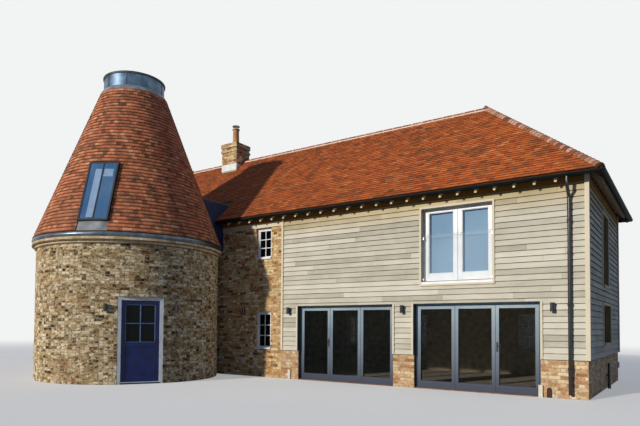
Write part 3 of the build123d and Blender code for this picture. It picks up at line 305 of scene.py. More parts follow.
# Sheet lead, dressed by hand: mid grey with a white bloom; on the link it is painted dark navy as the shade it lies in.
milledLead = evenFinish("milledLead", ["5C6268", "757B80", "949A9E"], 260, 12, 0.003,
                        {"Metallic": 0.35, "Roughness": 0.62})
linkLead = evenFinish("shadedLinkLead", ["131E3A", "1B2A4C", "28385C"], 260, 12, 0.003,
                      {"Metallic": 0.2, "Roughness": 0.6})
stackLead = evenFinish("newStackLead", ["B4BABC", "C8CED0", "DCE0E2"], 260, 12, 0.003,
                       {"Metallic": 0.25, "Roughness": 0.55})
# Steel and aluminium under black paint.
blackPaint = evenFinish("semiGlossBlackPaint", ["07090C", "0C0F14", "13181E"], 200, 4, 0.0003,
                        {"Roughness": 0.28, "Specular IOR Level": 0.6})
gutterPaint = evenFinish("mattBlackGutterPaint", ["0A0C0E", "101316", "181B1E"], 200, 4, 0.0003,
                         {"Roughness": 0.7, "Specular IOR Level": 0.12})
# Powder coat with a soft sheen, darkened by painted shade to nearly black towards the sill.
slatePaint = evenFinish("slateBluePowderCoat", ["6E8494", "7E94A2", "90A4AC"], 900, 2, 0.0002,
                        {"Roughness": 0.45}, {"from": 1.8, "to": 0.12, "amount": 0.96, "colour": "0C1C38"})
# Dark navy linings in the folding doors' reveals are painted shade; the kiln door's threshold takes the same navy.
navyLining = evenFinish("navyRevealLining", ["141B26", "1B2431", "26303E"], 400, 3, 0.0002, {"Roughness": 0.5})
brushedSteel = evenFinish("satinStainlessSteel", ["A8A8A6", "B8B8B6", "C6C6C4"], 60, 2, 0.0001,
                          {"Metallic": 1.0, "Roughness": 0.3})
darkBronze = evenFinish("darkHandleBronze", ["15161A", "1E2024", "2A2C30"], 60, 2, 0.0001,
                        {"Metallic": 0.6, "Roughness": 0.4})
# Black rubber for the seals; the same black fills the casement's gap under its sashes as painted shade.
rubberSealAndGapShade = evenFinish("blackRubberSealAndGapShade", ["08090A", "0E0F10"], 50, 2, 0.0002, {"Roughness": 0.7})
# Joinery paint, brushed on: nearly flat, with faint brush relief.
whitePaint = evenFinish("whiteJoineryPaint", ["E4E7E7", "EEF0F0", "F5F6F6"], 300, 5, 0.0003,
                        {"Roughness": 0.4, "Specular IOR Level": 0.4})
# The kiln door's white frame is tinted blue-grey as painted shade.
frameBluePaint = evenFinish("paleDoorFramePaint", ["C8D2DA", "D8E0E6", "E4EAEE"], 300, 5, 0.0003,
                            {"Roughness": 0.4})
navyPaint = evenFinish("navyDoorPaint", ["061440", "0A1C52", "122866"], 250, 5, 0.0003,
                       {"Roughness": 0.35, "Specular IOR Level": 0.3})
barBluePaint = evenFinish("paleBarPaint", ["3A5E8E", "4A6F9C", "5C80AA"], 200, 5, 0.0003, {"Roughness": 0.35})
# Stone, clay and plastic odds.
flagStone = evenFinish("sawnFlagstone", ["8A8473", "9F9987", "B2AC9A"], 220, 3, 0.001, {"Roughness": 0.8})
quarryTile = evenFinish("brownQuarryTile", ["6B4A34", "856048", "9A7458"], 180, 3, 0.001, {"Roughness": 0.7})
potClay = evenFinish("chimneyPotClay", ["A8744A", "BC8A5C", "CC9E70"], 160, 4, 0.002, {"Roughness": 0.8})
ventClay = evenFinish("darkVentClay", ["2A160E", "3A2016", "4C2C1E"], 80, 3, 0.001, {"Roughness": 0.8})
palePlastic = evenFinish("paleMouldedPlastic", ["C8C0A8", "D6CFB8", "E2DCC8"], 120, 2, 0.0002, {"Roughness": 0.5})
# Float glass: the alpha lets the room show; the casement's and the roof's are tinted blue as a painted sky reflection.
skyReflectionGlass = evenFinish("floatGlassPaintedSky", ["6E94B4", "80A2C0", "92B2CC"], 2500, 400, 0.0002,
                      {"Roughness": 0.05, "Alpha": 0.88, "IOR": 1.45, "Specular IOR Level": 0.3})
# The dark panes are near black as painted shade of the room behind.
roomGlass = evenFinish("floatGlassPaintedRoomShade", ["06090B", "0B1012", "141A1C"], 1200, 400, 0.0002,
                       {"Roughness": 0.05, "Alpha": 0.85, "IOR": 1.45, "Specular IOR Level": 0.12})
# The folding doors' glass is tinted dark olive as a faint painted reflection and shade.
foldGlass = evenFinish("floatGlassPaintedGardenReflection", ["0C1214", "181E1A", "2A2E26"], 1800, 400, 0.0002,
                       {"Roughness": 0.05, "Alpha": 0.16, "IOR": 1.45, "Specular IOR Level": 0.3})
clearSheet = evenFinish("clearToughenedGlass", ["BCD4E4", "C6DCEA"], 900, 400, 0.0002,
                        {"Roughness": 0.05, "Alpha": 0.07, "IOR": 1.45, "Specular IOR Level": 0.3})
# The guard's top edge: a pale strip as a painted highlight.
sheetEdge = evenFinish("glassEdgePaintedHighlight", ["A8C4D2", "C0D8E2"], 300, 400, 0.0002,
                       {"Roughness": 0.1, "Alpha": 0.55, "IOR": 1.45})
skyGlass = evenFinish("roofGlassPaintedSky", ["5C9CE0", "76B2F0", "92C6FA"], 900, 400, 0.0002,
                      {"Roughness": 0.08, "Alpha": 0.24, "IOR": 1.45, "Specular IOR Level": 0.4})
blindCloth = evenFinish("blindCloth", ["C2CCC8", "D0D8D2", "DCE2DC"], 120, 2, 0.0002, {"Roughness": 0.9})
print("materials made")

nodeFinishes = {
    limeMortar: ("kiln_wall_left", "kiln_wall_back", "kiln_wall_right", "kiln_door_head", "kiln_corbels",
                 "front_wall_left", "front_piers", "front_wall_upper", "back_wall", "end_walls", "chimney_stack"),
    eavesWood: ("kiln_cone", "roof_front", "roof_back", "roof_hips", "wall_plates"),
    rafterWood: ("rafter_feet",),
    floorWood: ("upper_floor",),
    flagStone: ("ground_floors",),
    trimOak: ("oak_trim",),
    bandZinc: ("kiln_eaves_band",),
    drumZinc: ("kiln_drum",),
    capZinc: ("drum_cap",),
    milledLead: ("skylight_apron",),
    linkLead: ("lead_link",),
    stackLead: ("lead_flashing",),
    gutterPaint: ("gutters",),
    blackPaint: ("downpipes", "skylight_frame", "chimney_cowl"),
    slatePaint: ("folding_frames", "folding_leaves"),
    brushedSteel: ("door_hinges",),
    darkBronze: ("folding_handles", "door_furniture"),
    whitePaint: ("casement_frame",),
    frameBluePaint: ("door_frame",),
    navyPaint: ("door_leaf",),
    roomGlass: ("door_glass",),
    skyGlass: ("skylight_glass",),
    clearSheet: ("guard_glass",),
    potClay: ("chimney_pot",),
    palePlastic: ("service_boxings",),
}
for finish, names in nodeFinishes.items():
    for name in names:
        nodes[name].data.materials.clear()
        nodes[name].data.materials.append(finish)
print("frame painted")


# Making pieces
def toMesh(shape, name, smooth=False):
    bmesh.ops.recalc_face_normals(shape, faces=shape.faces[:])
    for face in shape.faces:
        face.smooth = smooth
    mesh = bpy.data.meshes.new(name)
    shape.to_mesh(mesh)
    shape.free()
    return mesh


def addPiece(name, shape, material, body="building", replaced=(), smooth=False):
    # a mesh, or a bmesh that becomes one here
    mesh = shape if isinstance(shape, bpy.types.Mesh) else toMesh(shape, name, smooth)
    mesh.materials.append(material)
    piece = bpy.data.objects.new(name, mesh)
    scene.collection.objects.link(piece)
    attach(piece, body)
    if replaced:
        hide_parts(*replaced)


def addBox(shape, low, high, edge=0.0, turned=None):
    # one box between two corners, with its edges eased, then turned into place
    size = [high[axis] - low[axis] for axis in range(3)]
    middle = Vector([(high[axis] + low[axis]) / 2 for axis in range(3)])
    corners = bmesh.ops.create_cube(shape, size=1.0, matrix=Matrix.Translation(middle)
                                    @ Matrix.Diagonal((*size, 1)))["verts"]
    if edge:
        edges = list({line for corner in corners for line in corner.link_edges})
        rounded = bmesh.ops.bevel(shape, geom=edges, offset=edge, affect="EDGES", segments=1, profile=0.5,
                                  material=-1)
        corners = list({corner for face in rounded["faces"] for corner in face.verts})
    if turned is not None:
        bmesh.ops.transform(shape, matrix=turned, verts=corners)


def addSash(shape, outer, light, depth, edge=0.0, turned=None):
    # two stiles and two rails between an outline and its light, each as (left, right), (foot, head)
    (left, right), (foot, head) = outer
    (near, far), (sill, lintel) = light
    for sideways, upward in (((left, near), (foot, head)), ((far, right), (foot, head)),
                             ((near, far), (foot, sill)), ((near, far), (lintel, head))):
        addBox(shape, (sideways[0], depth[0], upward[0]), (sideways[1], depth[1], upward[1]), edge, turned)


def addRing(shape, across, up, width, depth, edge=0.0, turned=None):
    # a sash whose four members are alike
    light = [(low + width, high - width) for low, high in (across, up)]
    addSash(shape, (across, up), light, depth, edge, turned)


def addRod(shape, radius, length, place, segments, flare=0.0):
    # a closed round bar about its place's own z axis
    bmesh.ops.create_cone(shape, cap_ends=True, segments=segments, radius1=radius, radius2=radius + flare,
                          depth=length, matrix=place)


def addTurned(shape, outline, steps, closed=False):
    # a part turned about the vertical axis from its outline, given as radii and heights
    points = [shape.verts.new((radius, 0, height)) for radius, height in outline]
    lines = [shape.edges.new(pair) for pair in list(zip(points[-1:] + points, points))[0 if closed else 1:]]
    bmesh.ops.spin(shape, geom=points + lines, cent=(0, 0, 0), axis=(0, 0, 1), angle=math.tau, steps=steps,
                   use_merge=True, use_duplicate=False)


def wallFrame(turn, origin):
    # a wall's own axes: x along it, y into it and z up, turned about the vertical
    return Matrix.Translation(origin) @ Matrix.Rotation(math.radians(turn), 4, "Z")


def shaken(lean, twist):
    # a slight turn, as pieces set by hand have
    return Matrix.Rotation(random.gauss(0, lean), 4, "Y") @ Matrix.Rotation(random.gauss(0, twist), 4, "Z")


def joinCopies(name, template, places, tones, spans=None):
    # many copies of one small shape as one mesh; spans pull a copy's halves apart, so its bevels keep their size
    source = toMesh(template, name + "Template")
    corners = np.empty(len(source.vertices) * 3)
    source.vertices.foreach_get("co", corners)
    corners = corners.reshape(-1, 3)
    turns = np.empty(len(source.loops), dtype=np.int32)
    source.loops.foreach_get("vertex_index", turns)
    starts = np.empty(len(source.polygons), dtype=np.int32)
    source.polygons.foreach_get("loop_start", starts)
    bpy.data.meshes.remove(source)

    matrices = np.array([[list(row) for row in place] for place in places])
    count = len(matrices)
    pulls = np.zeros((count, 3)) if spans is None else np.array(spans)
    pulled = corners[None] + np.sign(np.round(corners, 6))[None] * pulls[:, None] / 2
    moved = np.einsum("nij,npj->npi", matrices[:, :3, :3], pulled) + matrices[:, None, :3, 3]
    offsets = np.arange(count)[:, None]
    mesh = bpy.data.meshes.new(name)
    mesh.vertices.add(count * len(corners))
    mesh.vertices.foreach_set("co", moved.ravel())
    mesh.loops.add(count * len(turns))
    mesh.loops.foreach_set("vertex_index", (turns[None] + offsets * len(corners)).ravel().astype(np.int32))
    mesh.polygons.add(count * len(starts))
    mesh.polygons.foreach_set("loop_start", (starts[None] + offsets * len(turns)).ravel().astype(np.int32))
    mesh.update(calc_edges=True)
    attribute = mesh.attributes.new("tone", "FLOAT", "FACE")
    attribute.data.foreach_set("value", np.repeat(np.array(tones), len(starts)).astype(np.float32))
    mesh.set_sharp_from_angle(angle=math.radians(30))
    return mesh


templateWidth = 0.020  # joinCopies pulls a template of this width out to each copy's own


class Pile:
    # collects the places of one small shape's copies, and each copy's tone, for one mesh
    def __init__(self, template, toneSpread):
        self.template, self.toneSpread = template, toneSpread
        self.places, self.spans, self.tones = [], [], []

    def add(self, place, width, height=templateWidth):
        self.places.append(place)
        self.spans.append((width - templateWidth, 0, height - templateWidth))
        self.tones.append(min(max(random.gauss(0.5, self.toneSpread), 0), 1))

    def build(self, name, material):
        addPiece(name, joinCopies(name, self.template(), self.places, self.tones, self.spans), material)


# Laying pieces in courses
laying = {
    "shortest": 0.001,
    "thinnest": 0.002,
    "courseEase": 0.01,
}


def freeRuns(start, end, blocked):
    # what is left of a run when some stretches of it are taken
    runs, edge = [], start
    for low, high in sorted(blocked):
        if low > edge:
            runs.append((edge, min(low, end)))
        edge = max(edge, high)
    if edge < end:
        runs.append((edge, end))
    return [(low, high) for low, high in runs if high - low > laying["shortest"]]


def layRun(start, end, units, joint, origin, smallest):
    # pieces laid end to end from a shared origin and cut at the run's ends; slivers join their neighbour
    period = sum(units) + joint * len(units)
    edge = start - (start - origin) % period
    laid, number = [], 0
    while edge < end:
        far = edge + units[number % len(units)]
        if min(far, end) - max(edge, start) > laying["thinnest"]:
            laid.append([max(edge, start), min(far, end)])
        edge = far + joint
        number += 1
    if len(laid) > 1 and laid[0][1] - laid[0][0] < smallest:
        near = laid.pop(0)[0]
        laid[0][0] = near
    if len(laid) > 1 and laid[-1][1] - laid[-1][0] < smallest:
        far = laid.pop()[1]
        laid[-1][1] = far
    return laid


def aroundOpenings(start, end, foot, head, openings, least):
    # one course's strips beside, under and over the openings, as left, right, foot and head
    crossed = [box for box in openings if box[1][0] < head and box[1][1] > foot]
    strips = [(left, right, foot, head) for left, right in freeRuns(start, end, [box[0] for box in crossed])]
    for (left, right), (sill, lintel) in crossed:
        for low, high in ((foot, sill), (lintel, head)):
            if high - low > least:
                strips.append((max(left, start), min(right, end), low, high))
    return strips


# Where the frame's main edges are, in metres, and the kiln door's place round the wall, in degrees
kilnRadius = 2.390
frontY, backY = 2.110, 7.348
barnLeft, barnRight = -5.500, 11.362
brickedTo = 3.735
plinthTop = 0.774
fullHeight = (0, 9)
frontWindows = [(-3.345, -2.790), (2.790, 3.345)]
backBoarded = [(5.3225, 5.8775), (8.7225, 9.2775)]
windowRows = [(0.780, 1.830), (3.310, 4.200)]
foldingDoors = [(4.300, 7.120), (7.660, 10.480)]
foldingHead = 1.965
casement = ((7.860, 9.510), (2.410, 4.160))
endWindows = [((4.150, 5.150), (2.350, 4.070)), ((4.180, 5.500), (1.030, 1.960))]
stackX, stackY = (-0.730, -0.040), (4.280, 4.950)
doorAzimuth = -31
front = wallFrame(0, (0, frontY, 0))
back = wallFrame(180, (0, backY, 0))
rightEnd = wallFrame(90, (barnRight, 0, 0))
leftEnd = wallFrame(-90, (barnLeft, 0, 0))


def mirrored(spans):
    # spans along the front as the back wall's and the left end's own axes count them
    return [(-far, -near) for near, far in spans]


# Bricks: standard stocks with 10 mm joints on a 75 mm course, laid a few millimetres proud of the mortar.
bricks = {
    "stretcher": 0.215,
    "header": 0.1025,
    "joint": 0.010,
    "course": 0.075,
    "proud": 0.004,
    "bed": 0.010,
    "arris": 0.003,
    "smallest": 0.030,
    "thinnest": 0.012,
    "thinnestCut": 0.015,
    "wander": 0.0015,
    "twist": 0.004,
    "toneSpread": 0.26,
}
pair = [bricks["stretcher"], bricks["header"]]
bondShift = (sum(pair) + 2 * bricks["joint"]) / 2


def brickTemplate():
    # a thin block whose front arrises are worn; joinCopies stretches it to each brick's size
    shape = bmesh.new()
    half = templateWidth / 2
    addBox(shape, (-half, -bricks["proud"], -half), (half, bricks["bed"], half))
    face = [line for line in shape.edges if all(corner.co.y < 0 for corner in line.verts)]
    bmesh.ops.bevel(shape, geom=face, offset=bricks["arris"], affect="EDGES", segments=1, profile=0.5, material=-1)
    return shape


def addBrick(pile, place, left, right, low, high):
    wander = random.uniform(-bricks["wander"], bricks["wander"])
    middle = Matrix.Translation(((left + right) / 2, wander, (low + high) / 2))
    pile.add(place @ middle @ Matrix.Rotation(random.gauss(0, bricks["twist"]), 4, "Z"), right - left, high - low)


def layWall(pile, place, start, end, low, high, openings=(), firstCourse=0):
    # Flemish bond over a flat wall, cut round its openings and at its head
    course = bricks["course"]
    for number in range(math.ceil((high - low) / course - laying["courseEase"])):
        foot = low + number * course + bricks["joint"] / 2
        head = min(foot + course - bricks["joint"], high)
        if head - foot < bricks["thinnest"]:
            continue
        shift = bondShift * ((number + firstCourse) % 2)
        for left, right, bottom, top in aroundOpenings(start, end, foot, head, openings, bricks["thinnestCut"]):
            for near, far in layRun(left, right, pair, bricks["joint"], shift, bricks["smallest"]):
                addBrick(pile, place, near, far, bottom, top)


def layReveals(pile, place, opening, depth):
    # the returns of the wall at an opening's two sides
    (left, right), (foot, head) = opening
    for edge, turn, start, end in ((left, 90, bricks["proud"], depth), (right, -90, -depth, -bricks["proud"])):
        side = place @ Matrix.Translation((edge, 0, 0)) @ Matrix.Rotation(math.radians(turn), 4, "Z")
        layWall(pile, side, start, end, foot, head, firstCourse=0 if turn > 0 else 1)


# Kiln wall: headers with a stretcher now and then, curved round the ring and cut at the doorway.
kiln = {
    "courses": 45,
    "hiddenFrom": 62.5,
    "hiddenTo": 117.5,
    "doorHalf": 0.531,
    "doorHead": 2.102,
    "stretcherShare": 0.22,
    "longestCourse": 160,
    "corbels": ((2.430, 3.370), (2.495, 3.445)),
    "corbelBed": 0.004,
    "corbelLap": 0.5,
}


def layRing(pile, radius, foot, head, start, end):
    # one course along an arc, from one angle to another
    length = math.radians(end - start) * radius
    units = [bricks["stretcher"] if random.random() < kiln["stretcherShare"] else bricks["header"]
             for _ in range(kiln["longestCourse"])]
    for near, far in layRun(0, length, units, bricks["joint"], 0, bricks["smallest"]):
        angle = start + math.degrees((near + far) / 2 / radius)
        place = wallFrame(angle + 90, (0, 0, 0)) @ Matrix.Translation((0, -radius, 0))
        addBrick(pile, place, (near - far) / 2, (far - near) / 2, foot, head)


def barnSide(radius, spare):
    # where a ring round the kiln meets the barn's front wall, as the angles of its arc's two ends
    reach = math.degrees(math.acos(frontY / radius)) + spare
    return 90 + reach, 450 - reach


pile = Pile(brickTemplate, bricks["toneSpread"])
doorHalfAngle = math.degrees(math.asin(kiln["doorHalf"] / kilnRadius))
doorStart, doorEnd = 360 + doorAzimuth - doorHalfAngle, 360 + doorAzimuth + doorHalfAngle
for number in range(kiln["courses"]):
    foot = number * bricks["course"] + bricks["joint"] / 2
    head = min(foot + bricks["course"] - bricks["joint"], kiln["corbels"][0][1])
    arcs = [(kiln["hiddenTo"], 360 + kiln["hiddenFrom"])]
    if foot < kiln["doorHead"]:
        arcs = [(kiln["hiddenTo"], doorStart), (doorEnd, 360 + kiln["hiddenFrom"])]
        if head > kiln["doorHead"] + bricks["thinnestCut"]:
            layRing(pile, kilnRadius, kiln["doorHead"], head, doorStart, doorEnd)
    for start, end in arcs:
        layRing(pile, kilnRadius, foot, head, start, end)
pile.build("kilnBricks", kilnStock)
pile = Pile(brickTemplate, bricks["toneSpread"])
for radius, low in kiln["corbels"]:
    layRing(pile, radius, low + kiln["corbelBed"], low + bricks["course"] - kiln["corbelBed"],
            *barnSide(radius, kiln["corbelLap"]))
pile.build("kilnCorbelBricks", gaultBrick)
print("kiln bricks laid")

# Barn walls: brick to the eaves at the left, a plinth under the boarding, and the stack over the roof.
barnBrick = {
    "brickTop": 4.200,
    "boardUp": (4.198, 4.462),
    "boardOut": 0.030,
    "behindKiln": (-1.110, 1.110),
    "revealDepth": 0.070,
    "doorReveal": 0.100,
    "belowBackWindows": 0.720,
    "stackLift": ((7.120, 7.560, 0.0), (7.560, 7.635, 0.025), (7.635, 7.720, 0.0), (7.720, 7.870, 0.025)),
}
brickTop, reveal = barnBrick["brickTop"], barnBrick["revealDepth"]
frontHoles = [(span, row) for span in frontWindows for row in windowRows]
backHoles = [(span, row) for span in mirrored(frontWindows) for row in windowRows]
leftHoles = [((-far, -near), row) for (near, far), row in endWindows]
doorHoles = [(span, fullHeight) for span in foldingDoors]
lowBack = [(span, (barnBrick["belowBackWindows"], fullHeight[1])) for span in mirrored(backBoarded)]
brickwork = (  # each wall's place, start, end, top, openings, the openings that have brick returns, and their depth
    ("frontBricks", barnStock, [(front, barnLeft, brickedTo, brickTop,
                                 frontHoles + [(barnBrick["behindKiln"], fullHeight)], frontHoles, reveal)]),
    ("pierBricks", pierStock, [(front, brickedTo, barnRight, plinthTop, doorHoles,
                                [(span, (0, plinthTop)) for span in foldingDoors], barnBrick["doorReveal"])]),
    ("backBricks", barnStock, [(back, -brickedTo, -barnLeft, brickTop, backHoles, backHoles, reveal),
                               (back, -barnRight, -brickedTo, plinthTop, lowBack, [], 0)]),
    ("rightEndBricks", pierStock, [(rightEnd, frontY, backY, plinthTop, [], [], 0)]),
    ("leftEndBricks", barnStock, [(leftEnd, -backY, -frontY, brickTop, leftHoles, leftHoles, reveal)]),
)
for name, stock, walls in brickwork:
    pile = Pile(brickTemplate, bricks["toneSpread"])
    for place, start, end, top, openings, returns, depth in walls:
        layWall(pile, place, start, end, 0, top, openings)
        for hole in returns:
            layReveals(pile, place, hole, depth)
    pile.build(name, stock)

pile = Pile(brickTemplate, bricks["toneSpread"])
for low, high, reach in barnBrick["stackLift"]:
    west, east = stackX[0] - reach, stackX[1] + reach
    south, north = stackY[0] - reach, stackY[1] + reach
    for turn, origin, start, end in ((0, (0, south, 0), west, east), (180, (0, north, 0), -east, -west),
                                     (90, (east, 0, 0), south, north), (-90, (west, 0, 0), -north, -south)):
        layWall(pile, wallFrame(turn, origin), start, end, low, high, firstCourse=int(low * 100) % 2)
pile.build("stackBricks", barnStock)
shape = bmesh.new()  # planed boards close the gap between the brick and the rafters
for place, start, end in ((front, barnLeft, brickedTo), (back, -brickedTo, -barnLeft), (leftEnd, -backY, -frontY)):
    for near, far in freeRuns(start, end, [barnBrick["behindKiln"]] if place is front else []):
        addBox(shape, (near, -barnBrick["boardOut"], barnBrick["boardUp"][0]), (far, 0.004, barnBrick["boardUp"][1]),
               0.003, place)
addPiece("eavesBoards", shape, trimOak)
print("barn bricks laid")

# Weatherboards: feather-edged oak, each lapping the one below, with butt joints at random.
boarding = {
    "exposure": 0.126,
    "height": 0.151,
    "footProud": (0.034, 0.012),
    "headProud": (0.009, 0.001),
    "top": 4.440,
    "lengths": (1.5, 3.4),
    "lengthsInTurn": 9,
    "slide": (-4, 0),
    "joint": 0.003,
    "smallest": 0.25,
    "tones": (0.10, 0.42),
    "waver": 0.0022,
    "bay": 0.45,
    "batten": 0.060,
    "frieze": (4.330, 4.462),
    "friezeOut": (0.037, 0.010),
}


def oneBoard(near, far, low, high, foot):
    # a feather-edged board in the wall's axes, its foot thicker than its head and a little wavy
    board = bmesh.new()
    addBox(board, (near, 0, low), (far, 1, high))
    for corner in board.verts:
        climb = (corner.co.z - foot) / boarding["height"]
        side = 1 if corner.co.y > 0.5 else 0
        corner.co.y = -boarding["footProud"][side] * (1 - climb) - boarding["headProud"][side] * climb
    long = [line for line in board.edges if abs(line.verts[0].co.x - line.verts[1].co.x) > (far - near) / 2]
    bmesh.ops.subdivide_edges(board, edges=long, cuts=max(1, int((far - near) / boarding["bay"])))
    for corner in board.verts:
        if low == foot and corner.co.z < low + 0.001 and near < corner.co.x < far:
            corner.co.z += random.gauss(0, boarding["waver"])
    return board


def boardWall(name, place, start, end, openings, material, node):
    shape = bmesh.new()
    shape.faces.layers.float.new("tone")
    board = bpy.data.meshes.new(name + "Board")
    rows = math.ceil((boarding["top"] - plinthTop) / boarding["exposure"] - laying["courseEase"])
    for row in range(rows):
        foot = plinthTop + row * boarding["exposure"]
        head = min(foot + boarding["height"], boarding["top"])
        units = [random.uniform(*boarding["lengths"]) for _ in range(boarding["lengthsInTurn"])]
        slide = random.uniform(*boarding["slide"])
        for left, right, low, high in aroundOpenings(start, end, foot, head, openings, 0):
            for near, far in layRun(left, right, units, boarding["joint"], slide, boarding["smallest"]):
                piece = oneBoard(near, far, low, high, foot)
                layer = piece.faces.layers.float.new("tone")
                tone = random.uniform(*boarding["tones"])
                for face in piece.faces:
                    face[layer] = tone
                piece.transform(place)
                piece.to_mesh(board)
                piece.free()
                shape.from_mesh(board)
    bpy.data.meshes.remove(board)
    addPiece(name, shape, material, replaced=(node,))


frontGaps = [(span, (0, foldingHead)) for span in foldingDoors] + [casement]
boardWall("frontWeatherboards", front, brickedTo + boarding["batten"], barnRight, frontGaps, frontOak, "front_boards")
backGaps = [(span, row) for span in mirrored(backBoarded) for row in windowRows]
boardWall("backWeatherboards", back, -barnRight, -brickedTo - boarding["batten"], backGaps, frontOak, "back_boards")
boardWall("endWeatherboards", rightEnd, frontY, backY, endWindows, sideOak, "right_boards")
shape = bmesh.new()  # a board closes the boarding's head, behind the rafter feet; its gold brown is painted shade
hiddenFrom, hiddenTo = barnBrick["behindKiln"]
for place, start, end in ((front, barnLeft, hiddenFrom), (front, hiddenTo, brickedTo),
                          (front, brickedTo + boarding["batten"], barnRight), (back, -barnRight, -barnLeft),
                          (rightEnd, frontY, backY), (leftEnd, -backY, -frontY)):
    addBox(shape, (start, -boarding["friezeOut"][0], boarding["frieze"][0]),
           (end, -boarding["friezeOut"][1], boarding["frieze"][1]), 0.003, place)
addPiece("friezeBoards", shape, friezeOak)
print("boards fixed")

# Roof tiles: plain tiles at a 100 mm gauge, side joints broken course by course.
tiles = {
    "width": 0.163,
    "joint": 0.002,
    "gauge": 0.100,
    "length": 0.150,
    "thickness": 0.012,
    "tailLift": 0.016,
    "headSink": 0.002,
    "camber": 0.001,
    "overhang": 0.025,
    "smallest": 0.050,
    "lean": 0.022,
    "twist": 0.008,
    "slip": 0.002,
    "ride": 0.002,
    "underEaves": 0.013,
    "toneSpread": 0.2,
}


def tileTemplate():
    # a cambered slab whose tail rides on the course below: x across, y up the slope, z out of it
    shape = bmesh.new()
    half = templateWidth / 2
    addBox(shape, (-half, 0, 0), (half, tiles["length"], tiles["thickness"]))
    crosswise = [line for line in shape.edges if abs(line.verts[0].co.x - line.verts[1].co.x) > half]
    bmesh.ops.subdivide_edges(shape, edges=crosswise, cuts=1)
    for corner in shape.verts:
        corner.co.z += tiles["tailLift"] if corner.co.y < 0.01 else -tiles["headSink"]
        if abs(corner.co.x) < 0.001:
            corner.co.z += tiles["camber"]
    return shape


def addTile(pile, place, near, far, lower=0.0):
    lean = shaken(tiles["lean"], tiles["twist"])
    slip = random.gauss(0, tiles["slip"])
    shift = Matrix.Translation(((near + far) / 2, slip, random.uniform(0, tiles["ride"]) - lower))
    pile.add(place @ shift @ lean, far - near)


roof = {
    "eavesZ": 4.510,
    "ridgeZ": 7.272,
    "leftX": -5.813,
    "rightX": 11.675,
    "frontY": 1.797,
    "backY": 7.661,
    "hipRun": 3.067,
    "linkHalf": 1.500,
    "linkTop": 5.185,
    "linkFall": 0.0867,
    "linkLap": (0.060, 0.030),
    "stackGap": (0.010, 0.100),
    "ridgeStop": 0.030,
}
rise = roof["ridgeZ"] - roof["eavesZ"]
halfSpan = (roof["backY"] - roof["frontY"]) / 2
middleY = (roof["backY"] + roof["frontY"]) / 2
middleX = (roof["leftX"] + roof["rightX"]) / 2
longHalf = (roof["rightX"] - roof["leftX"]) / 2


def tileSlope(pile, turn, reach, run, baseHalf, drawnIn, blocked=()):
    # courses from the eaves to the ridge, each drawn in by the hips; x across the slope, y up it, z out of it
    steepness = math.atan2(rise, run)
    place = (wallFrame(turn, (middleX, middleY, roof["eavesZ"])) @ Matrix.Translation((0, -reach, 0))
             @ Matrix.Rotation(steepness, 4, "X"))
    courses = int((math.hypot(rise, run) + tiles["overhang"] - roof["ridgeStop"]) / tiles["gauge"])
    for number in range(-1, courses):
        tail = max(number, 0) * tiles["gauge"] - tiles["overhang"]
        half = baseHalf - max(tail + tiles["length"], 0) * math.cos(steepness) * (drawnIn / run)
        height = roof["eavesZ"] + tail * math.sin(steepness)
        depth = tail * math.cos(steepness)
        taken = [span for span, (low, high), (near, far) in blocked
                 if low <= height <= high and near <= depth <= far]
        shift = (tiles["width"] + tiles["joint"]) / 2 * (number % 2)
        for start, end in freeRuns(-half, half, taken):
            for near, far in layRun(start, end, [tiles["width"]], tiles["joint"], shift, tiles["smallest"]):
                addTile(pile, place @ Matrix.Translation((0, tail, 0)), near, far,
                        tiles["underEaves"] if number < 0 else 0)


# What the tiles leave free, as spans across the slope, up in height and back from the eaves
beside, above = roof["stackGap"]
linkTaken = ((-roof["linkHalf"] - middleX, roof["linkHalf"] - middleX), (0, roof["linkTop"]), (-1, 9))
stackFront = ((stackX[0] - beside - middleX, stackX[1] + beside - middleX), fullHeight,
              (stackY[0] - roof["frontY"] - above, 9))
stackBack = ((middleX - stackX[1] - beside, middleX - stackX[0] + beside), fullHeight,
             (roof["backY"] - stackY[1] - above, 9))
hipRun = roof["hipRun"]
for name, slopes in (("frontSlopeTiles", [(0, halfSpan, halfSpan, longHalf, hipRun, [linkTaken, stackFront])]),
                     ("backSlopeTiles", [(180, halfSpan, halfSpan, longHalf, hipRun, [stackBack])]),
                     ("hipSlopeTiles", [(turn, longHalf, hipRun, halfSpan, halfSpan) for turn in (90, -90)])):
    pile = Pile(tileTemplate, tiles["toneSpread"])
    for slope in slopes:
        tileSlope(pile, *slope)
    pile.build(name, barnClay)
print("barn tiles hung")

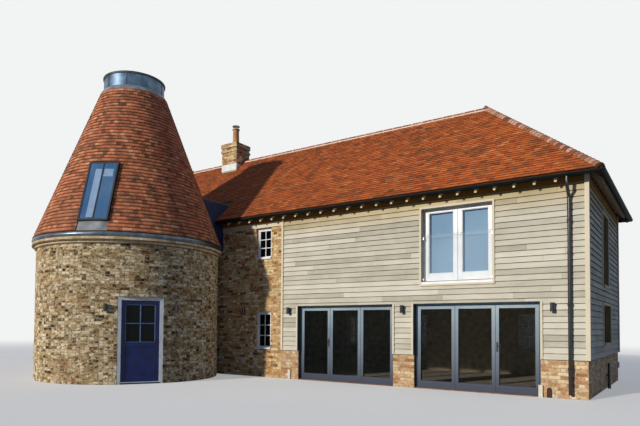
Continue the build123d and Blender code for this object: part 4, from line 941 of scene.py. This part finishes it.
# Cone: the same tiles in level rings, left out at the skylight, its apron and the link.
cone = {
    "footRadius": 2.483,
    "footZ": 3.600,
    "headRadius": 0.855,
    "headZ": 7.860,
    "width": 0.112,
    "smallest": 0.040,
    "start": 0.055,
    "bare": 0.060,
    "skylightAzimuth": -59,
    "skylightHalf": 0.378,
    "skylightZ": (3.905, 5.490),
    "skylightLap": 0.030,
    "apronHalf": 9.0,
    "apronZ": (3.665, 3.905),
    "apronLap": 0.020,
    "wallLap": 0.020,
}
coneRun = cone["footRadius"] - cone["headRadius"]
coneRise = cone["headZ"] - cone["footZ"]
coneSteep = math.atan2(coneRise, coneRun)
pile = Pile(tileTemplate, tiles["toneSpread"])
for number in range(int((math.hypot(coneRun, coneRise) - cone["start"] - cone["bare"]) / tiles["gauge"])):
    tail = cone["start"] + number * tiles["gauge"]
    height = cone["footZ"] + tail * math.sin(coneSteep)
    radius = cone["footRadius"] - tail * math.cos(coneSteep)
    crownZ = height + tiles["gauge"]
    hidden = 0
    if height < cone["apronZ"][1] - cone["apronLap"] and crownZ > cone["apronZ"][0]:
        hidden = cone["apronHalf"]
    elif crownZ > cone["skylightZ"][0] and height < cone["skylightZ"][1] - cone["skylightLap"]:
        hidden = math.degrees(math.asin(cone["skylightHalf"] / radius))
    length = math.radians(360 - hidden - hidden) * radius
    count = round(length / (cone["width"] + tiles["joint"]))
    step = length / count
    shift = step / 2 * (number % 2)
    for place in range(-1 if hidden and shift else 0, count):
        near, far = place * step + shift, (place + 1) * step + shift
        if hidden:  # half tiles at the skylight's sides on every other course
            near, far = max(near, 0), min(far, length)
            if far - near < cone["smallest"]:
                continue
        angle = cone["skylightAzimuth"] + hidden + math.degrees((near + far) / 2 / radius)
        x, y = radius * math.cos(math.radians(angle)), radius * math.sin(math.radians(angle))
        underLink = (abs(x) < roof["linkHalf"] - roof["linkLap"][0] and y > 0
                     and height < roof["linkTop"] - roof["linkFall"] * abs(x) - roof["linkLap"][1])
        if underLink or y > frontY - cone["wallLap"]:
            continue
        spot = (wallFrame(angle + 90, (0, 0, height)) @ Matrix.Translation((0, -radius, 0))
                @ Matrix.Rotation(coneSteep, 4, "X"))
        half = (far - near - tiles["joint"]) / 2
        addTile(pile, spot, -half, half)
pile.build("coneTiles", coneClay)
print("cone tiled")

# Ridge caps and bonnets
alongX = Matrix.Rotation(math.pi / 2, 4, "Y")  # stands an upright bar along x


def capTemplate(cap):
    # a half-round cap along x, its mouth wider at the tail
    shape = bmesh.new()
    ring = bmesh.ops.create_circle(shape, segments=cap["segments"], radius=cap["tailRadius"], matrix=alongX)["verts"]
    bmesh.ops.delete(shape, geom=[corner for corner in ring if corner.co.z < cap["footHeight"]], context="VERTS")
    made = bmesh.ops.extrude_edge_only(shape, edges=shape.edges[:])["geom"]
    far = [part for part in made if isinstance(part, bmesh.types.BMVert)]
    drawnIn = cap["headRadius"] / cap["tailRadius"]
    bmesh.ops.scale(shape, vec=(1, drawnIn, drawnIn), verts=far)
    bmesh.ops.translate(shape, vec=(cap["length"], 0, 0), verts=far)
    bmesh.ops.recalc_face_normals(shape, faces=shape.faces[:])
    bmesh.ops.solidify(shape, geom=shape.faces[:], thickness=cap["thickness"])
    return shape


ridge = {
    "from": -2.746,
    "to": 8.608,
    "pitch": 0.305,
    "start": 0.004,
    "length": 0.297,
    "axisZ": 7.190,
    "tailRadius": 0.122,
    "headRadius": 0.122,
    "thickness": 0.013,
    "footHeight": 0.050,
    "segments": 28,
    "shake": 0.006,
    "ride": 0.002,
    "stackGap": 0.020,
    "mortarRadius": 0.119,
    "jointRadius": 0.127,
    "jointWidth": 0.028,
    "bedSegments": 24,
}
ridgeEnds = (stackX[0] - ridge["stackGap"], stackX[1] + ridge["stackGap"])
capCount = round((ridge["to"] - ridge["from"]) / ridge["pitch"])
capPitch = (ridge["to"] - ridge["from"]) / capCount
places, tones = [], []
bedding = bmesh.new()
for start, end in ((ridge["from"], ridgeEnds[0]), (ridgeEnds[1], ridge["to"])):
    addRod(bedding, ridge["mortarRadius"], end - start,
           Matrix.Translation(((start + end) / 2, middleY, ridge["axisZ"])) @ alongX, ridge["bedSegments"])
for number in range(capCount):
    x = ridge["from"] + number * capPitch
    if x + capPitch > ridgeEnds[0] and x < ridgeEnds[1]:
        continue
    shake = shaken(ridge["shake"], ridge["shake"])
    height = ridge["axisZ"] + random.uniform(-ridge["ride"], ridge["ride"])
    places.append(Matrix.Translation((x + ridge["start"], middleY, height)) @ shake)
    tones.append(random.random())
    addRod(bedding, ridge["jointRadius"], ridge["jointWidth"],
           Matrix.Translation((x, middleY, ridge["axisZ"])) @ alongX, ridge["bedSegments"])
addPiece("ridgeCaps", joinCopies("ridgeCaps", capTemplate(ridge), places, tones), ridgeClay,
         replaced=("ridge_tiles",))
addPiece("ridgeBedding", bedding, ridgeMortar)

bonnets = {
    "count": 39,
    "start": 0.050,
    "tailRadius": 0.120,
    "headRadius": 0.104,
    "length": 0.185,
    "thickness": 0.012,
    "drop": 0.066,
    "footHeight": 0.015,
    "segments": 20,
    "shake": 0.012,
    "bedRadius": 0.100,
    "bedSink": 0.002,
}
places, tones = [], []
bedding = bmesh.new()
for cornerX, peakX in ((roof["rightX"], ridge["to"]), (roof["leftX"], ridge["from"])):
    for cornerY in (roof["frontY"], roof["backY"]):
        foot = Vector((cornerX, cornerY, roof["eavesZ"]))
        peak = Vector((peakX, middleY, roof["ridgeZ"]))
        along = (peak - foot).normalized()
        sideways = Vector((0, 0, 1)).cross(along).normalized()
        outward = along.cross(sideways)
        axes = Matrix((along, sideways, outward)).transposed().to_4x4()
        spacing = (peak - foot).length / bonnets["count"]
        for number in range(bonnets["count"]):
            spot = foot + along * (number * spacing + bonnets["start"]) - outward * bonnets["drop"]
            places.append(Matrix.Translation(spot) @ axes @ shaken(bonnets["shake"], bonnets["shake"]))
            tones.append(random.random())
        bed = (foot + peak) / 2 - outward * (bonnets["drop"] + bonnets["bedSink"])
        addRod(bedding, bonnets["bedRadius"], (peak - foot).length, Matrix.Translation(bed) @ axes @ alongX,
               bonnets["segments"])
addPiece("hipBonnets", joinCopies("hipBonnets", capTemplate(bonnets), places, tones), bonnetClay,
         replaced=("hip_tiles",))
addPiece("hipBedding", bedding, hipMortar)
print("ridge and hips capped")

# Metalwork of the kiln: a rolled eaves band with a bead along each edge, a bead round the drum's rim and a lead collar.
kilnMetal = {
    "bandRadius": 2.478,
    "bandInside": 0.012,
    "bandRoll": 0.026,
    "bandEdges": (3.522, 3.648),
    "bandSpare": 0.3,
    "beadRadius": 0.006,
    "rollSteps": 9,
    "rimRadius": 0.826,
    "rimZ": 8.257,
    "rimBead": 0.011,
    "turnSteps": 96,
    "collar": ((0.812, 7.915), (0.824, 7.915), (0.880, 7.850), (0.922, 7.772), (0.910, 7.768), (0.866, 7.845),
               (0.812, 7.893)),
}


def sweepRound(shape, face, start, end):
    # a flat face swept round the kiln's axis; a full turn closes on itself and keeps no end faces
    geometry = [*face.verts, *face.edges, face]
    whole = end - start >= 360
    if whole:
        bmesh.ops.delete(shape, geom=[geometry.pop()], context="FACES_ONLY")
    bmesh.ops.spin(shape, geom=geometry, cent=(0, 0, 0), axis=(0, 0, 1), angle=math.radians(end - start),
                   steps=kilnMetal["turnSteps"], use_merge=whole, use_duplicate=False)


def addBead(shape, radius, height, thickness, start, end):
    # a round bar bent round the axis
    place = (Matrix.Rotation(math.radians(start), 4, "Z") @ Matrix.Translation((radius, 0, height))
             @ Matrix.Rotation(math.pi / 2, 4, "X"))
    ring = bmesh.ops.create_circle(shape, cap_ends=True, segments=8, radius=thickness, matrix=place)["verts"]
    sweepRound(shape, ring[0].link_faces[0], start, end)


bandArc = barnSide(kilnMetal["bandRadius"], kilnMetal["bandSpare"])
low, high = kilnMetal["bandEdges"]
inner = kilnMetal["bandRadius"] - kilnMetal["bandInside"]
shares = [step / (kilnMetal["rollSteps"] - 1) for step in range(kilnMetal["rollSteps"])]
roll = [(kilnMetal["bandRadius"] + kilnMetal["bandRoll"] * math.sin(math.pi * share), low + (high - low) * share)
        for share in shares]
turn = Matrix.Rotation(math.radians(bandArc[0]), 4, "Z")
shape = bmesh.new()
outline = [shape.verts.new(turn @ Vector((radius, 0, height)))
           for radius, height in [(inner, low), *roll, (inner, high)]]
sweepRound(shape, shape.faces.new(outline), *bandArc)
addPiece("bandRoll", shape, bandZinc, replaced=("kiln_eaves_band",), smooth=True)
shape = bmesh.new()
for height in kilnMetal["bandEdges"]:
    addBead(shape, kilnMetal["bandRadius"], height, kilnMetal["beadRadius"], *bandArc)
addPiece("bandBeads", shape, capZinc, smooth=True)
shape = bmesh.new()
addBead(shape, kilnMetal["rimRadius"], kilnMetal["rimZ"], kilnMetal["rimBead"], 0, 360)
addTurned(shape, kilnMetal["collar"], kilnMetal["turnSteps"], closed=True)
addPiece("drumCollar", shape, milledLead)

# Pale blinds drawn part of the way under the roof glass, each as its near and far side and its start and end
skylight = {
    "foot": (2.383, 3.956),
    "head": (1.807, 5.463),
    "under": 0.006,
    "thick": 0.004,
    "blinds": ((-0.190, -0.016, 0.03, 0.90), (0.016, 0.270, 0.76, 0.90)),
}
slope = Vector((skylight["head"][0] - skylight["foot"][0], 0, skylight["head"][1] - skylight["foot"][1]))
along, sideways = slope.normalized(), Vector((0, 1, 0))
axes = Matrix((sideways, along.cross(sideways), along)).transposed().to_4x4()
glassPlace = wallFrame(cone["skylightAzimuth"], (0, 0, 0)) @ Matrix.Translation(
    (skylight["foot"][0], 0, skylight["foot"][1])) @ axes
shape = bmesh.new()
for near, far, start, end in skylight["blinds"]:
    addBox(shape, (near, skylight["under"], start * slope.length),
           (far, skylight["under"] + skylight["thick"], end * slope.length), 0.001, glassPlace)
addPiece("skylightBlinds", shape, blindCloth)
print("kiln metalwork made")


# Windows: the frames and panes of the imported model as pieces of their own, each part in its own finish.
def nodePart(name, node, keep):
    # part of a node's mesh as a new mesh: the corners that keep() turns down are dropped
    shape = bmesh.new()
    shape.from_mesh(nodes[node].data)
    bmesh.ops.remove_doubles(shape, verts=shape.verts[:], dist=0.00001)
    bmesh.ops.delete(shape, geom=[corner for corner in shape.verts if not keep(corner.co)], context="VERTS")
    mesh = bpy.data.meshes.new(name)
    shape.to_mesh(mesh)
    shape.free()
    return mesh


def onEnd(point):
    return point.x > barnRight - 0.2 or point.x < barnLeft + 0.2


def archVent(point):
    return 10.5 < point.x < 10.8 and point.y < frontY + 0.2


def inFolding(point):
    return point.z < foldingHead and foldingDoors[0][0] - 0.5 < point.x < foldingDoors[1][1] + 0.12 and point.y < 3


def inCasement(point):
    return point.z > 2.3 and casement[0][0] - 0.06 < point.x < casement[0][1] + 0.09 and point.y < 3


def inSmallWindow(point):
    return not onEnd(point) and (point.y > 3 or point.x < 3.8)


for name, node, keep, finish, slot, replaced in (
        ("longWallFrames", "window_frames", lambda point: not onEnd(point), whitePaint, "white_paint", True),
        ("endWallFrames", "window_frames", onEnd, greenOak, "white_paint", False),
        ("wallVents", "wall_vents", lambda point: not archVent(point), palePlastic, "pale_plastic", True),
        ("archVent", "wall_vents", archVent, ventClay, "pale_plastic", False),
        ("foldingPanes", "barn_glass", inFolding, foldGlass, "clear_glass", True),
        ("casementPanes", "barn_glass", inCasement, skyReflectionGlass, "clear_glass", False),
        ("endPanes", "barn_glass", onEnd, roomGlass, "clear_glass", False),
        ("smallPanes", "barn_glass", inSmallWindow, roomGlass, "clear_glass", False)):
    addPiece(name, nodePart(name, node, keep), finish, replaced=(node,) if replaced else ())

# Small windows: a sash inside each frame, with glazing bars that part its light in six
smallWindow = {
    "member": 0.055,
    "sash": 0.030,
    "bar": 0.022,
    "depth": (0.080, 0.126),
    "barSink": 0.006,
    "rows": 3,
    "ease": 0.003,
}
shape = bmesh.new()
member, sash, ease = smallWindow["member"], smallWindow["sash"], smallWindow["ease"]
depth, halfBar = smallWindow["depth"], smallWindow["bar"] / 2
barFace, barBack = depth[0] + smallWindow["barSink"], depth[1] - smallWindow["barSink"]
longWindows = [(front, hole) for hole in frontHoles] + [(back, hole) for hole in backHoles + backGaps]
for place, opening in longWindows:
    light = [(low + member, high - member) for low, high in opening]
    addRing(shape, *light, sash, depth, ease, place)
    (near, far), (sill, lintel) = [(low + sash, high - sash) for low, high in light]
    middle = (near + far) / 2
    addBox(shape, (middle - halfBar, barFace, sill), (middle + halfBar, barBack, lintel), ease, place)
    for number in range(1, smallWindow["rows"]):
        height = sill + (lintel - sill) * number / smallWindow["rows"]
        addBox(shape, (near, barFace + 0.001, height - halfBar), (far, barBack - 0.001, height + halfBar), ease, place)
addPiece("windowSashes", shape, whitePaint)

# Upper casement: two sashes that stand forward of their frame, so that the reveal looks shallow
sashes = {
    "stile": 0.128,
    "head": 0.085,
    "rail": 0.200,
    "meeting": 0.204,
    "sill": 0.050,
    "frame": 0.048,
    "setback": 0.155,
    "proud": 0.052,
    "lip": 0.006,
    "apart": 0.003,
    "overSill": 0.026,
    "underHead": 0.038,
    "bead": 0.012,
    "hingeIn": 0.044,
    "hinge": (0.012, 0.090),
    "hingeEnds": (0.28, 0.25),
    "ease": 0.004,
}
shape = bmesh.new()
(left, right), (foot, head) = casement
foot += sashes["sill"]
middle, rim, face, ease = (left + right) / 2, sashes["frame"], sashes["setback"], sashes["ease"]
depth = (face - sashes["proud"], face + 0.010)
lightUp = (foot + sashes["rail"], head - sashes["head"])
halfMeeting = sashes["meeting"] / 2
for outer, light in (((left + rim, middle - sashes["apart"]), (left + sashes["stile"], middle - halfMeeting)),
                     ((middle + sashes["apart"], right - rim), (middle + halfMeeting, right - sashes["stile"]))):
    addSash(shape, (outer, (foot + sashes["overSill"], head - sashes["underHead"])), (light, lightUp), depth, 0.005,
            front)
    addRing(shape, (light[0] - 0.001, light[1] + 0.001), (lightUp[0] - 0.001, lightUp[1] + 0.001), sashes["bead"],
            (depth[0] + 0.008, depth[1] + 0.010), ease, front)
lip = (depth[0] + sashes["lip"], face + 0.002)  # the frame's lip runs forward beside and over the sashes
for near, far in ((left + 0.006, left + rim - 0.003), (right - rim + 0.003, right - 0.006)):
    addBox(shape, (near, lip[0], foot + 0.002), (far, lip[1], head - 0.006), 0.003, front)
addBox(shape, (left + rim - 0.004, lip[0] + 0.001, head - rim + 0.013),
       (right - rim + 0.004, lip[1] - 0.001, head - 0.007), 0.003, front)
halfHinge, hingeRise = (size / 2 for size in sashes["hinge"])
for height in (foot + sashes["hingeEnds"][0], (foot + head) / 2, head - sashes["hingeEnds"][1]):
    for side in (left + sashes["hingeIn"], right - sashes["hingeIn"]):
        addBox(shape, (side - halfHinge, depth[0] - 0.004, height - hingeRise),
               (side + halfHinge, depth[0] + 0.010, height + hingeRise), ease, front)
addBox(shape, (left + 0.001, -0.034, foot - 0.020), (right - 0.001, face - 0.002, foot + 0.002), ease, front)
addPiece("casementSashes", shape, whitePaint)
# a black strip fills the gap under the sashes, as painted shade
shape = bmesh.new()
addBox(shape, (left + 0.004, lip[0] + 0.002, foot + 0.004), (right - 0.004, face + 0.001, foot + 0.024), 0.001, front)
addPiece("casementGap", shape, rubberSealAndGapShade)

# The guard: clamps on the reveals hold its sheet, whose top edge is a pale strip as a painted highlight.
guard = {"y": (2.135, 2.151), "top": 3.550, "heights": (2.520, 3.480), "size": (0.038, 0.062), "edge": 0.007}
sheetFace, sheetBack = guard["y"]
shape = bmesh.new()
for near, far in ((left, left + guard["size"][0]), (right - guard["size"][0], right)):
    for height in guard["heights"]:
        addBox(shape, (near, sheetFace - 0.008, height - guard["size"][1] / 2),
               (far, sheetBack + 0.008, height + guard["size"][1] / 2), 0.004)
addPiece("guardClamps", shape, brushedSteel)
shape = bmesh.new()
addBox(shape, (left + 0.001, sheetFace + 0.001, guard["top"] - guard["edge"]),
       (right - 0.001, sheetBack - 0.001, guard["top"] - 0.0005), 0.001)
addPiece("guardEdge", shape, sheetEdge)

# Linings: thin boards on the returns of the openings and, in dark navy as painted shade, of the folding doors'.
lining = {
    "thick": 0.006,
    "out": 0.034,
    "ease": 0.001,
    "endDepth": 0.072,
    "endSill": 0.050,
    "cap": (0.074, 0.060, 0.006),
    "pierIn": 0.045,
    "soffit": (0.042, 0.012),
}
thick, out, ease = lining["thick"], lining["out"], lining["ease"]


def addLinings(shape, across, up, depth, place):
    # boards on both sides of an opening and over it
    (near, far), (sill, lintel) = across, up
    for low, high in ((near, near + thick), (far - thick, far)):
        addBox(shape, (low, -out, sill), (high, depth, lintel), ease, place)
    addBox(shape, (near + thick, -out, lintel - thick), (far - thick, depth, lintel), ease, place)


shape = bmesh.new()
addLinings(shape, (left, right), (foot + 0.003, head), face - 0.001, front)
addPiece("casementLinings", shape, liningOak)
shape = bmesh.new()
for across, (sill, lintel) in endWindows:
    addLinings(shape, across, (sill + lining["endSill"] + 0.001, lintel), lining["endDepth"], rightEnd)
addPiece("endLinings", shape, brownOak)
shape = bmesh.new()
(near, far), (sill, _) = endWindows[0]
sill += lining["endSill"]
addBox(shape, (near + 0.002, -lining["cap"][0], sill), (far - 0.002, lining["cap"][1], sill + lining["cap"][2]),
       0.002, rightEnd)
addPiece("endSillCap", shape, whitePaint)
shape = bmesh.new()
deep = barnBrick["doorReveal"]
for left, right in foldingDoors:
    for near, far in ((left, left + thick), (right - thick, right)):
        addBox(shape, (near, -out, plinthTop), (far, deep, foldingHead), ease, front)
        addBox(shape, (near, lining["pierIn"], 0.0), (far, deep, plinthTop), ease, front)
    addBox(shape, (left, -lining["soffit"][0], foldingHead - lining["soffit"][1]),
           (right, deep, foldingHead - 0.001), ease, front)
addPiece("foldingLinings", shape, navyLining)

# Folding doors: rubber seals in the joints and round the glass, and tiled thresholds.
folding = {
    "jamb": 0.050,
    "leaves": 3,
    "member": 0.078,
    "bottomRail": 0.145,
    "sill": 0.030,
    "face": 2.210,
    "seal": 0.010,
    "sealSink": 0.020,
    "headSeal": 0.004,
    "gasket": 0.007,
    "gasketIn": (0.018, 0.040),
    "tile": 0.300,
    "tileOut": 0.030,
    "tileJoint": 0.002,
    "threshold": 0.018,
}
shape = bmesh.new()
face, foot, head = folding["face"], folding["sill"], foldingHead - folding["jamb"]
inside, halfSeal = face + folding["sealSink"], folding["seal"] / 2
for left, right in foldingDoors:
    start, end = left + folding["jamb"], right - folding["jamb"]
    width = (right - left - 2 * folding["jamb"]) / folding["leaves"]
    joints = [start + number * width for number in range(folding["leaves"] + 1)]
    for edge in joints:
        addBox(shape, (edge - halfSeal, face - 0.0015, foot), (edge + halfSeal, inside, head))
    addBox(shape, (start, face - 0.0012, head - folding["headSeal"]), (end, inside, head + folding["headSeal"]))
    for edge in joints[:-1]:
        addRing(shape, (edge + folding["member"] - 0.001, edge + width - folding["member"] + 0.001),
                (foot + folding["bottomRail"] - 0.001, head - folding["member"] + 0.001), folding["gasket"],
                [face + depth for depth in folding["gasketIn"]])
addPiece("foldingSeals", shape, rubberSealAndGapShade)
shape = bmesh.new()
for left, right in foldingDoors:
    edge = left
    while edge < right - 0.01:
        far = min(edge + folding["tile"] + folding["tileJoint"], right)
        addBox(shape, (edge + 0.001, frontY - folding["tileOut"], 0), (far - 0.003, face, folding["threshold"]), 0.003)
        edge = far
addPiece("thresholdTiles", shape, quarryTile)

# Kiln door: bars that part its light in four, and a bead round it, carried on the leaf.
leaf = {
    "half": 0.353,
    "light": (1.000, 1.920),
    "panel": (0.230, 0.900),
    "back": 2.2515,
    "bar": 0.026,
    "barOut": (0.040, 0.006),
    "bead": 0.018,
    "moulding": 0.022,
    "threshold": (0.462, 2.300, 2.340, 0.036),
}
doorPlace = wallFrame(doorAzimuth + 90, (0, 0, 0))
half, halfBar = leaf["half"], leaf["bar"] / 2
(foot, head), middle = leaf["light"], sum(leaf["light"]) / 2
near, far = (-leaf["back"] - step for step in leaf["barOut"])
shape = bmesh.new()
addBox(shape, (-halfBar, near, foot), (halfBar, far, head), 0.004, doorPlace)
addBox(shape, (-half, near + 0.001, middle - halfBar), (half, far - 0.001, middle + halfBar), 0.004, doorPlace)
addRing(shape, (-half, half), leaf["light"], leaf["bead"], (near, far), 0.004, doorPlace)
addPiece("doorBars", shape, barBluePaint, body="kiln_door")
shape = bmesh.new()
addRing(shape, (-half, half), leaf["panel"], leaf["moulding"], (near - 0.002, near + 0.012), 0.005, doorPlace)
addPiece("doorPanelMoulding", shape, navyPaint, body="kiln_door")
shape = bmesh.new()
half, inner, outer, height = leaf["threshold"]
addBox(shape, (-half, -outer, 0), (half, -inner, height), 0.004, doorPlace)
addPiece("doorThreshold", shape, navyLining)
print("joinery glazed")

# Lamps: a black tube with a lipped rim at each end, on a small plate.
lamp = {
    "radius": 0.045,
    "half": 0.090,
    "lens": 0.036,
    "gap": 0.020,
    "z": 1.840,
    "onBarn": (2.390, 4.020, 7.388, 10.725),
    "boardProud": 0.035,
    "onKiln": (-50.3, -10.6),
    "plate": (0.040, 0.030, 0.080),
}
r, h, lens = lamp["radius"], lamp["half"], lamp["lens"]
tube = bmesh.new()
addTurned(tube, [(0, -h + 0.012), (lens, -h + 0.012), (lens, -h), (r, -h), (r, -h + 0.010), (r - 0.003, -h + 0.014),
                 (r - 0.003, h - 0.014), (r, h - 0.010), (r, h), (lens, h), (lens, h - 0.012), (0, h - 0.012)], 20)
bmesh.ops.remove_doubles(tube, verts=tube.verts[:], dist=0.00001)
places = [wallFrame(0, (x, frontY - (0 if x < brickedTo else lamp["boardProud"]), lamp["z"])) for x in lamp["onBarn"]]
places += [wallFrame(azimuth + 90, (0, 0, lamp["z"])) @ Matrix.Translation((0, -kilnRadius, 0))
           for azimuth in lamp["onKiln"]]
tubes = [place @ Matrix.Translation((0, -lamp["gap"] - r, 0)) for place in places]
addPiece("lampTubes", joinCopies("lampTubes", tube, tubes, [0.5] * len(tubes)), blackPaint,
         replaced=("wall_lamps",))
width, proud, height = lamp["plate"]
shape = bmesh.new()
for place in places:
    addBox(shape, (-width / 2, -proud, -height / 2), (width / 2, 0.0, height / 2), 0.003, place)
addPiece("lampFeet", shape, blackPaint)

# Rainwater: sockets on the pipes.
rain = {
    "pipeX": 11.050,
    "pipeY": (2.016, 7.442),
    "socketZ": (0.600, 1.880, 3.560),
    "radius": 0.042,
    "flare": 0.003,
    "socket": 0.060,
}
shape = bmesh.new()
for y in rain["pipeY"]:
    for height in rain["socketZ"]:
        addRod(shape, rain["radius"], rain["socket"], Matrix.Translation((rain["pipeX"], y, height)), 20, rain["flare"])
addPiece("pipeSockets", shape, blackPaint)
print("fittings made")

# Floor and light: a pale floor, a low broad sun from the front left and even light from all round.
studio = {
    "floorHalf": 220,
    "floorMiddle": (2.5, 3.0, 0),
    "floorTones": ("E6E5E2", "EBEAE7"),
    "floorPatch": 4000,
    "floorFade": (16, 48),
    "floorLift": 0.35,
    "floorBounce": "8A8C8E",
    "sunFrom": (-0.287, -0.899, 0.331),
    "sunStrength": 3.2,
    "sunSpread": 2.5,
    "sunColour": "FFF7EC",
    "fillStrength": 0.23,
    "fillColour": "94BCFC",
    "backdrop": "F2F3F3",
}


def seenRays(tree):
    # 1 for what the camera sees, straight or in metal and glass, and 0 for what only lights the object
    rays = addNode(tree, "LightPath").outputs
    seen = addNode(tree, "Math", {0: rays["Is Camera Ray"], 1: rays["Is Glossy Ray"]}, operation="MAXIMUM")
    return addNode(tree, "Math", {0: seen, 1: rays["Is Transmission Ray"]}, operation="MAXIMUM")


floorMaterial, tree, place = startFinish("paleStudioFloor", {"Roughness": 0.95, "Specular IOR Level": 0.1})
floorShader = tree.nodes["Principled BSDF"]
spot = place["Object"]
cloud = addNode(tree, "TexNoise", {"Vector": spot, "Scale": perMetre(studio["floorPatch"]), "Detail": 2.0})
tint = addNode(tree, "ValToRGB", {"Fac": cloud}, stops=list(zip((0.3, 0.7), studio["floorTones"])))
seen = seenRays(tree)  # the floor looks pale, but throws less light up at the walls
ground = addNode(tree, "Mix", {0: seen, 6: hexColour(studio["floorBounce"]), 7: tint}, data_type="RGBA")
setInputs(tree, floorShader, {"Base Color": ground})
away = addNode(tree, "VectorMath", {0: spot}, operation="LENGTH").outputs["Value"]
fade = addNode(tree, "MapRange", {"Value": away, "From Min": studio["floorFade"][0],
                                  "From Max": studio["floorFade"][1]}, interpolation_type="SMOOTHSTEP")
far = addNode(tree, "Emission", {"Color": hexColour(studio["backdrop"])})  # the far floor melts into the backdrop
lift = addNode(tree, "MapRange", {"Value": fade, "To Min": studio["floorLift"]})
lifted = addNode(tree, "Math", {0: lift, 1: seen}, operation="MULTIPLY")
joined = addNode(tree, "MixShader", {0: lifted, 1: floorShader, 2: far})
setInputs(tree, tree.nodes["Material Output"], {"Surface": joined})
shape = bmesh.new()
bmesh.ops.create_grid(shape, x_segments=2, y_segments=2, size=studio["floorHalf"],
                      matrix=Matrix.Translation(studio["floorMiddle"]))
floor = bpy.data.objects.new("studioFloor", toMesh(shape, "studioFloor"))
floor.data.materials.append(floorMaterial)
scene.collection.objects.link(floor)

sun = bpy.data.objects.new("broadSun", bpy.data.lights.new("broadSun", "SUN"))
sun.data.energy = studio["sunStrength"]
sun.data.angle = math.radians(studio["sunSpread"])
sun.data.color = hexColour(studio["sunColour"])[:3]
sun.rotation_mode = "QUATERNION"
sun.rotation_quaternion = Vector(studio["sunFrom"]).to_track_quat("Z", "Y")
scene.collection.objects.link(sun)

world = bpy.data.worlds.new("studioSky")
scene.world = world
world.use_nodes = True
tree = world.node_tree
tree.nodes.clear()
glow = addNode(tree, "Background", {"Color": hexColour(studio["fillColour"]), "Strength": studio["fillStrength"]})
backdrop = addNode(tree, "Background", {"Color": hexColour(studio["backdrop"]), "Strength": 1.0})
either = addNode(tree, "MixShader", {0: seenRays(tree), 1: glow, 2: backdrop})
addNode(tree, "OutputWorld", {"Surface": either})
scene.view_settings.view_transform = "Standard"
print("stage lit")
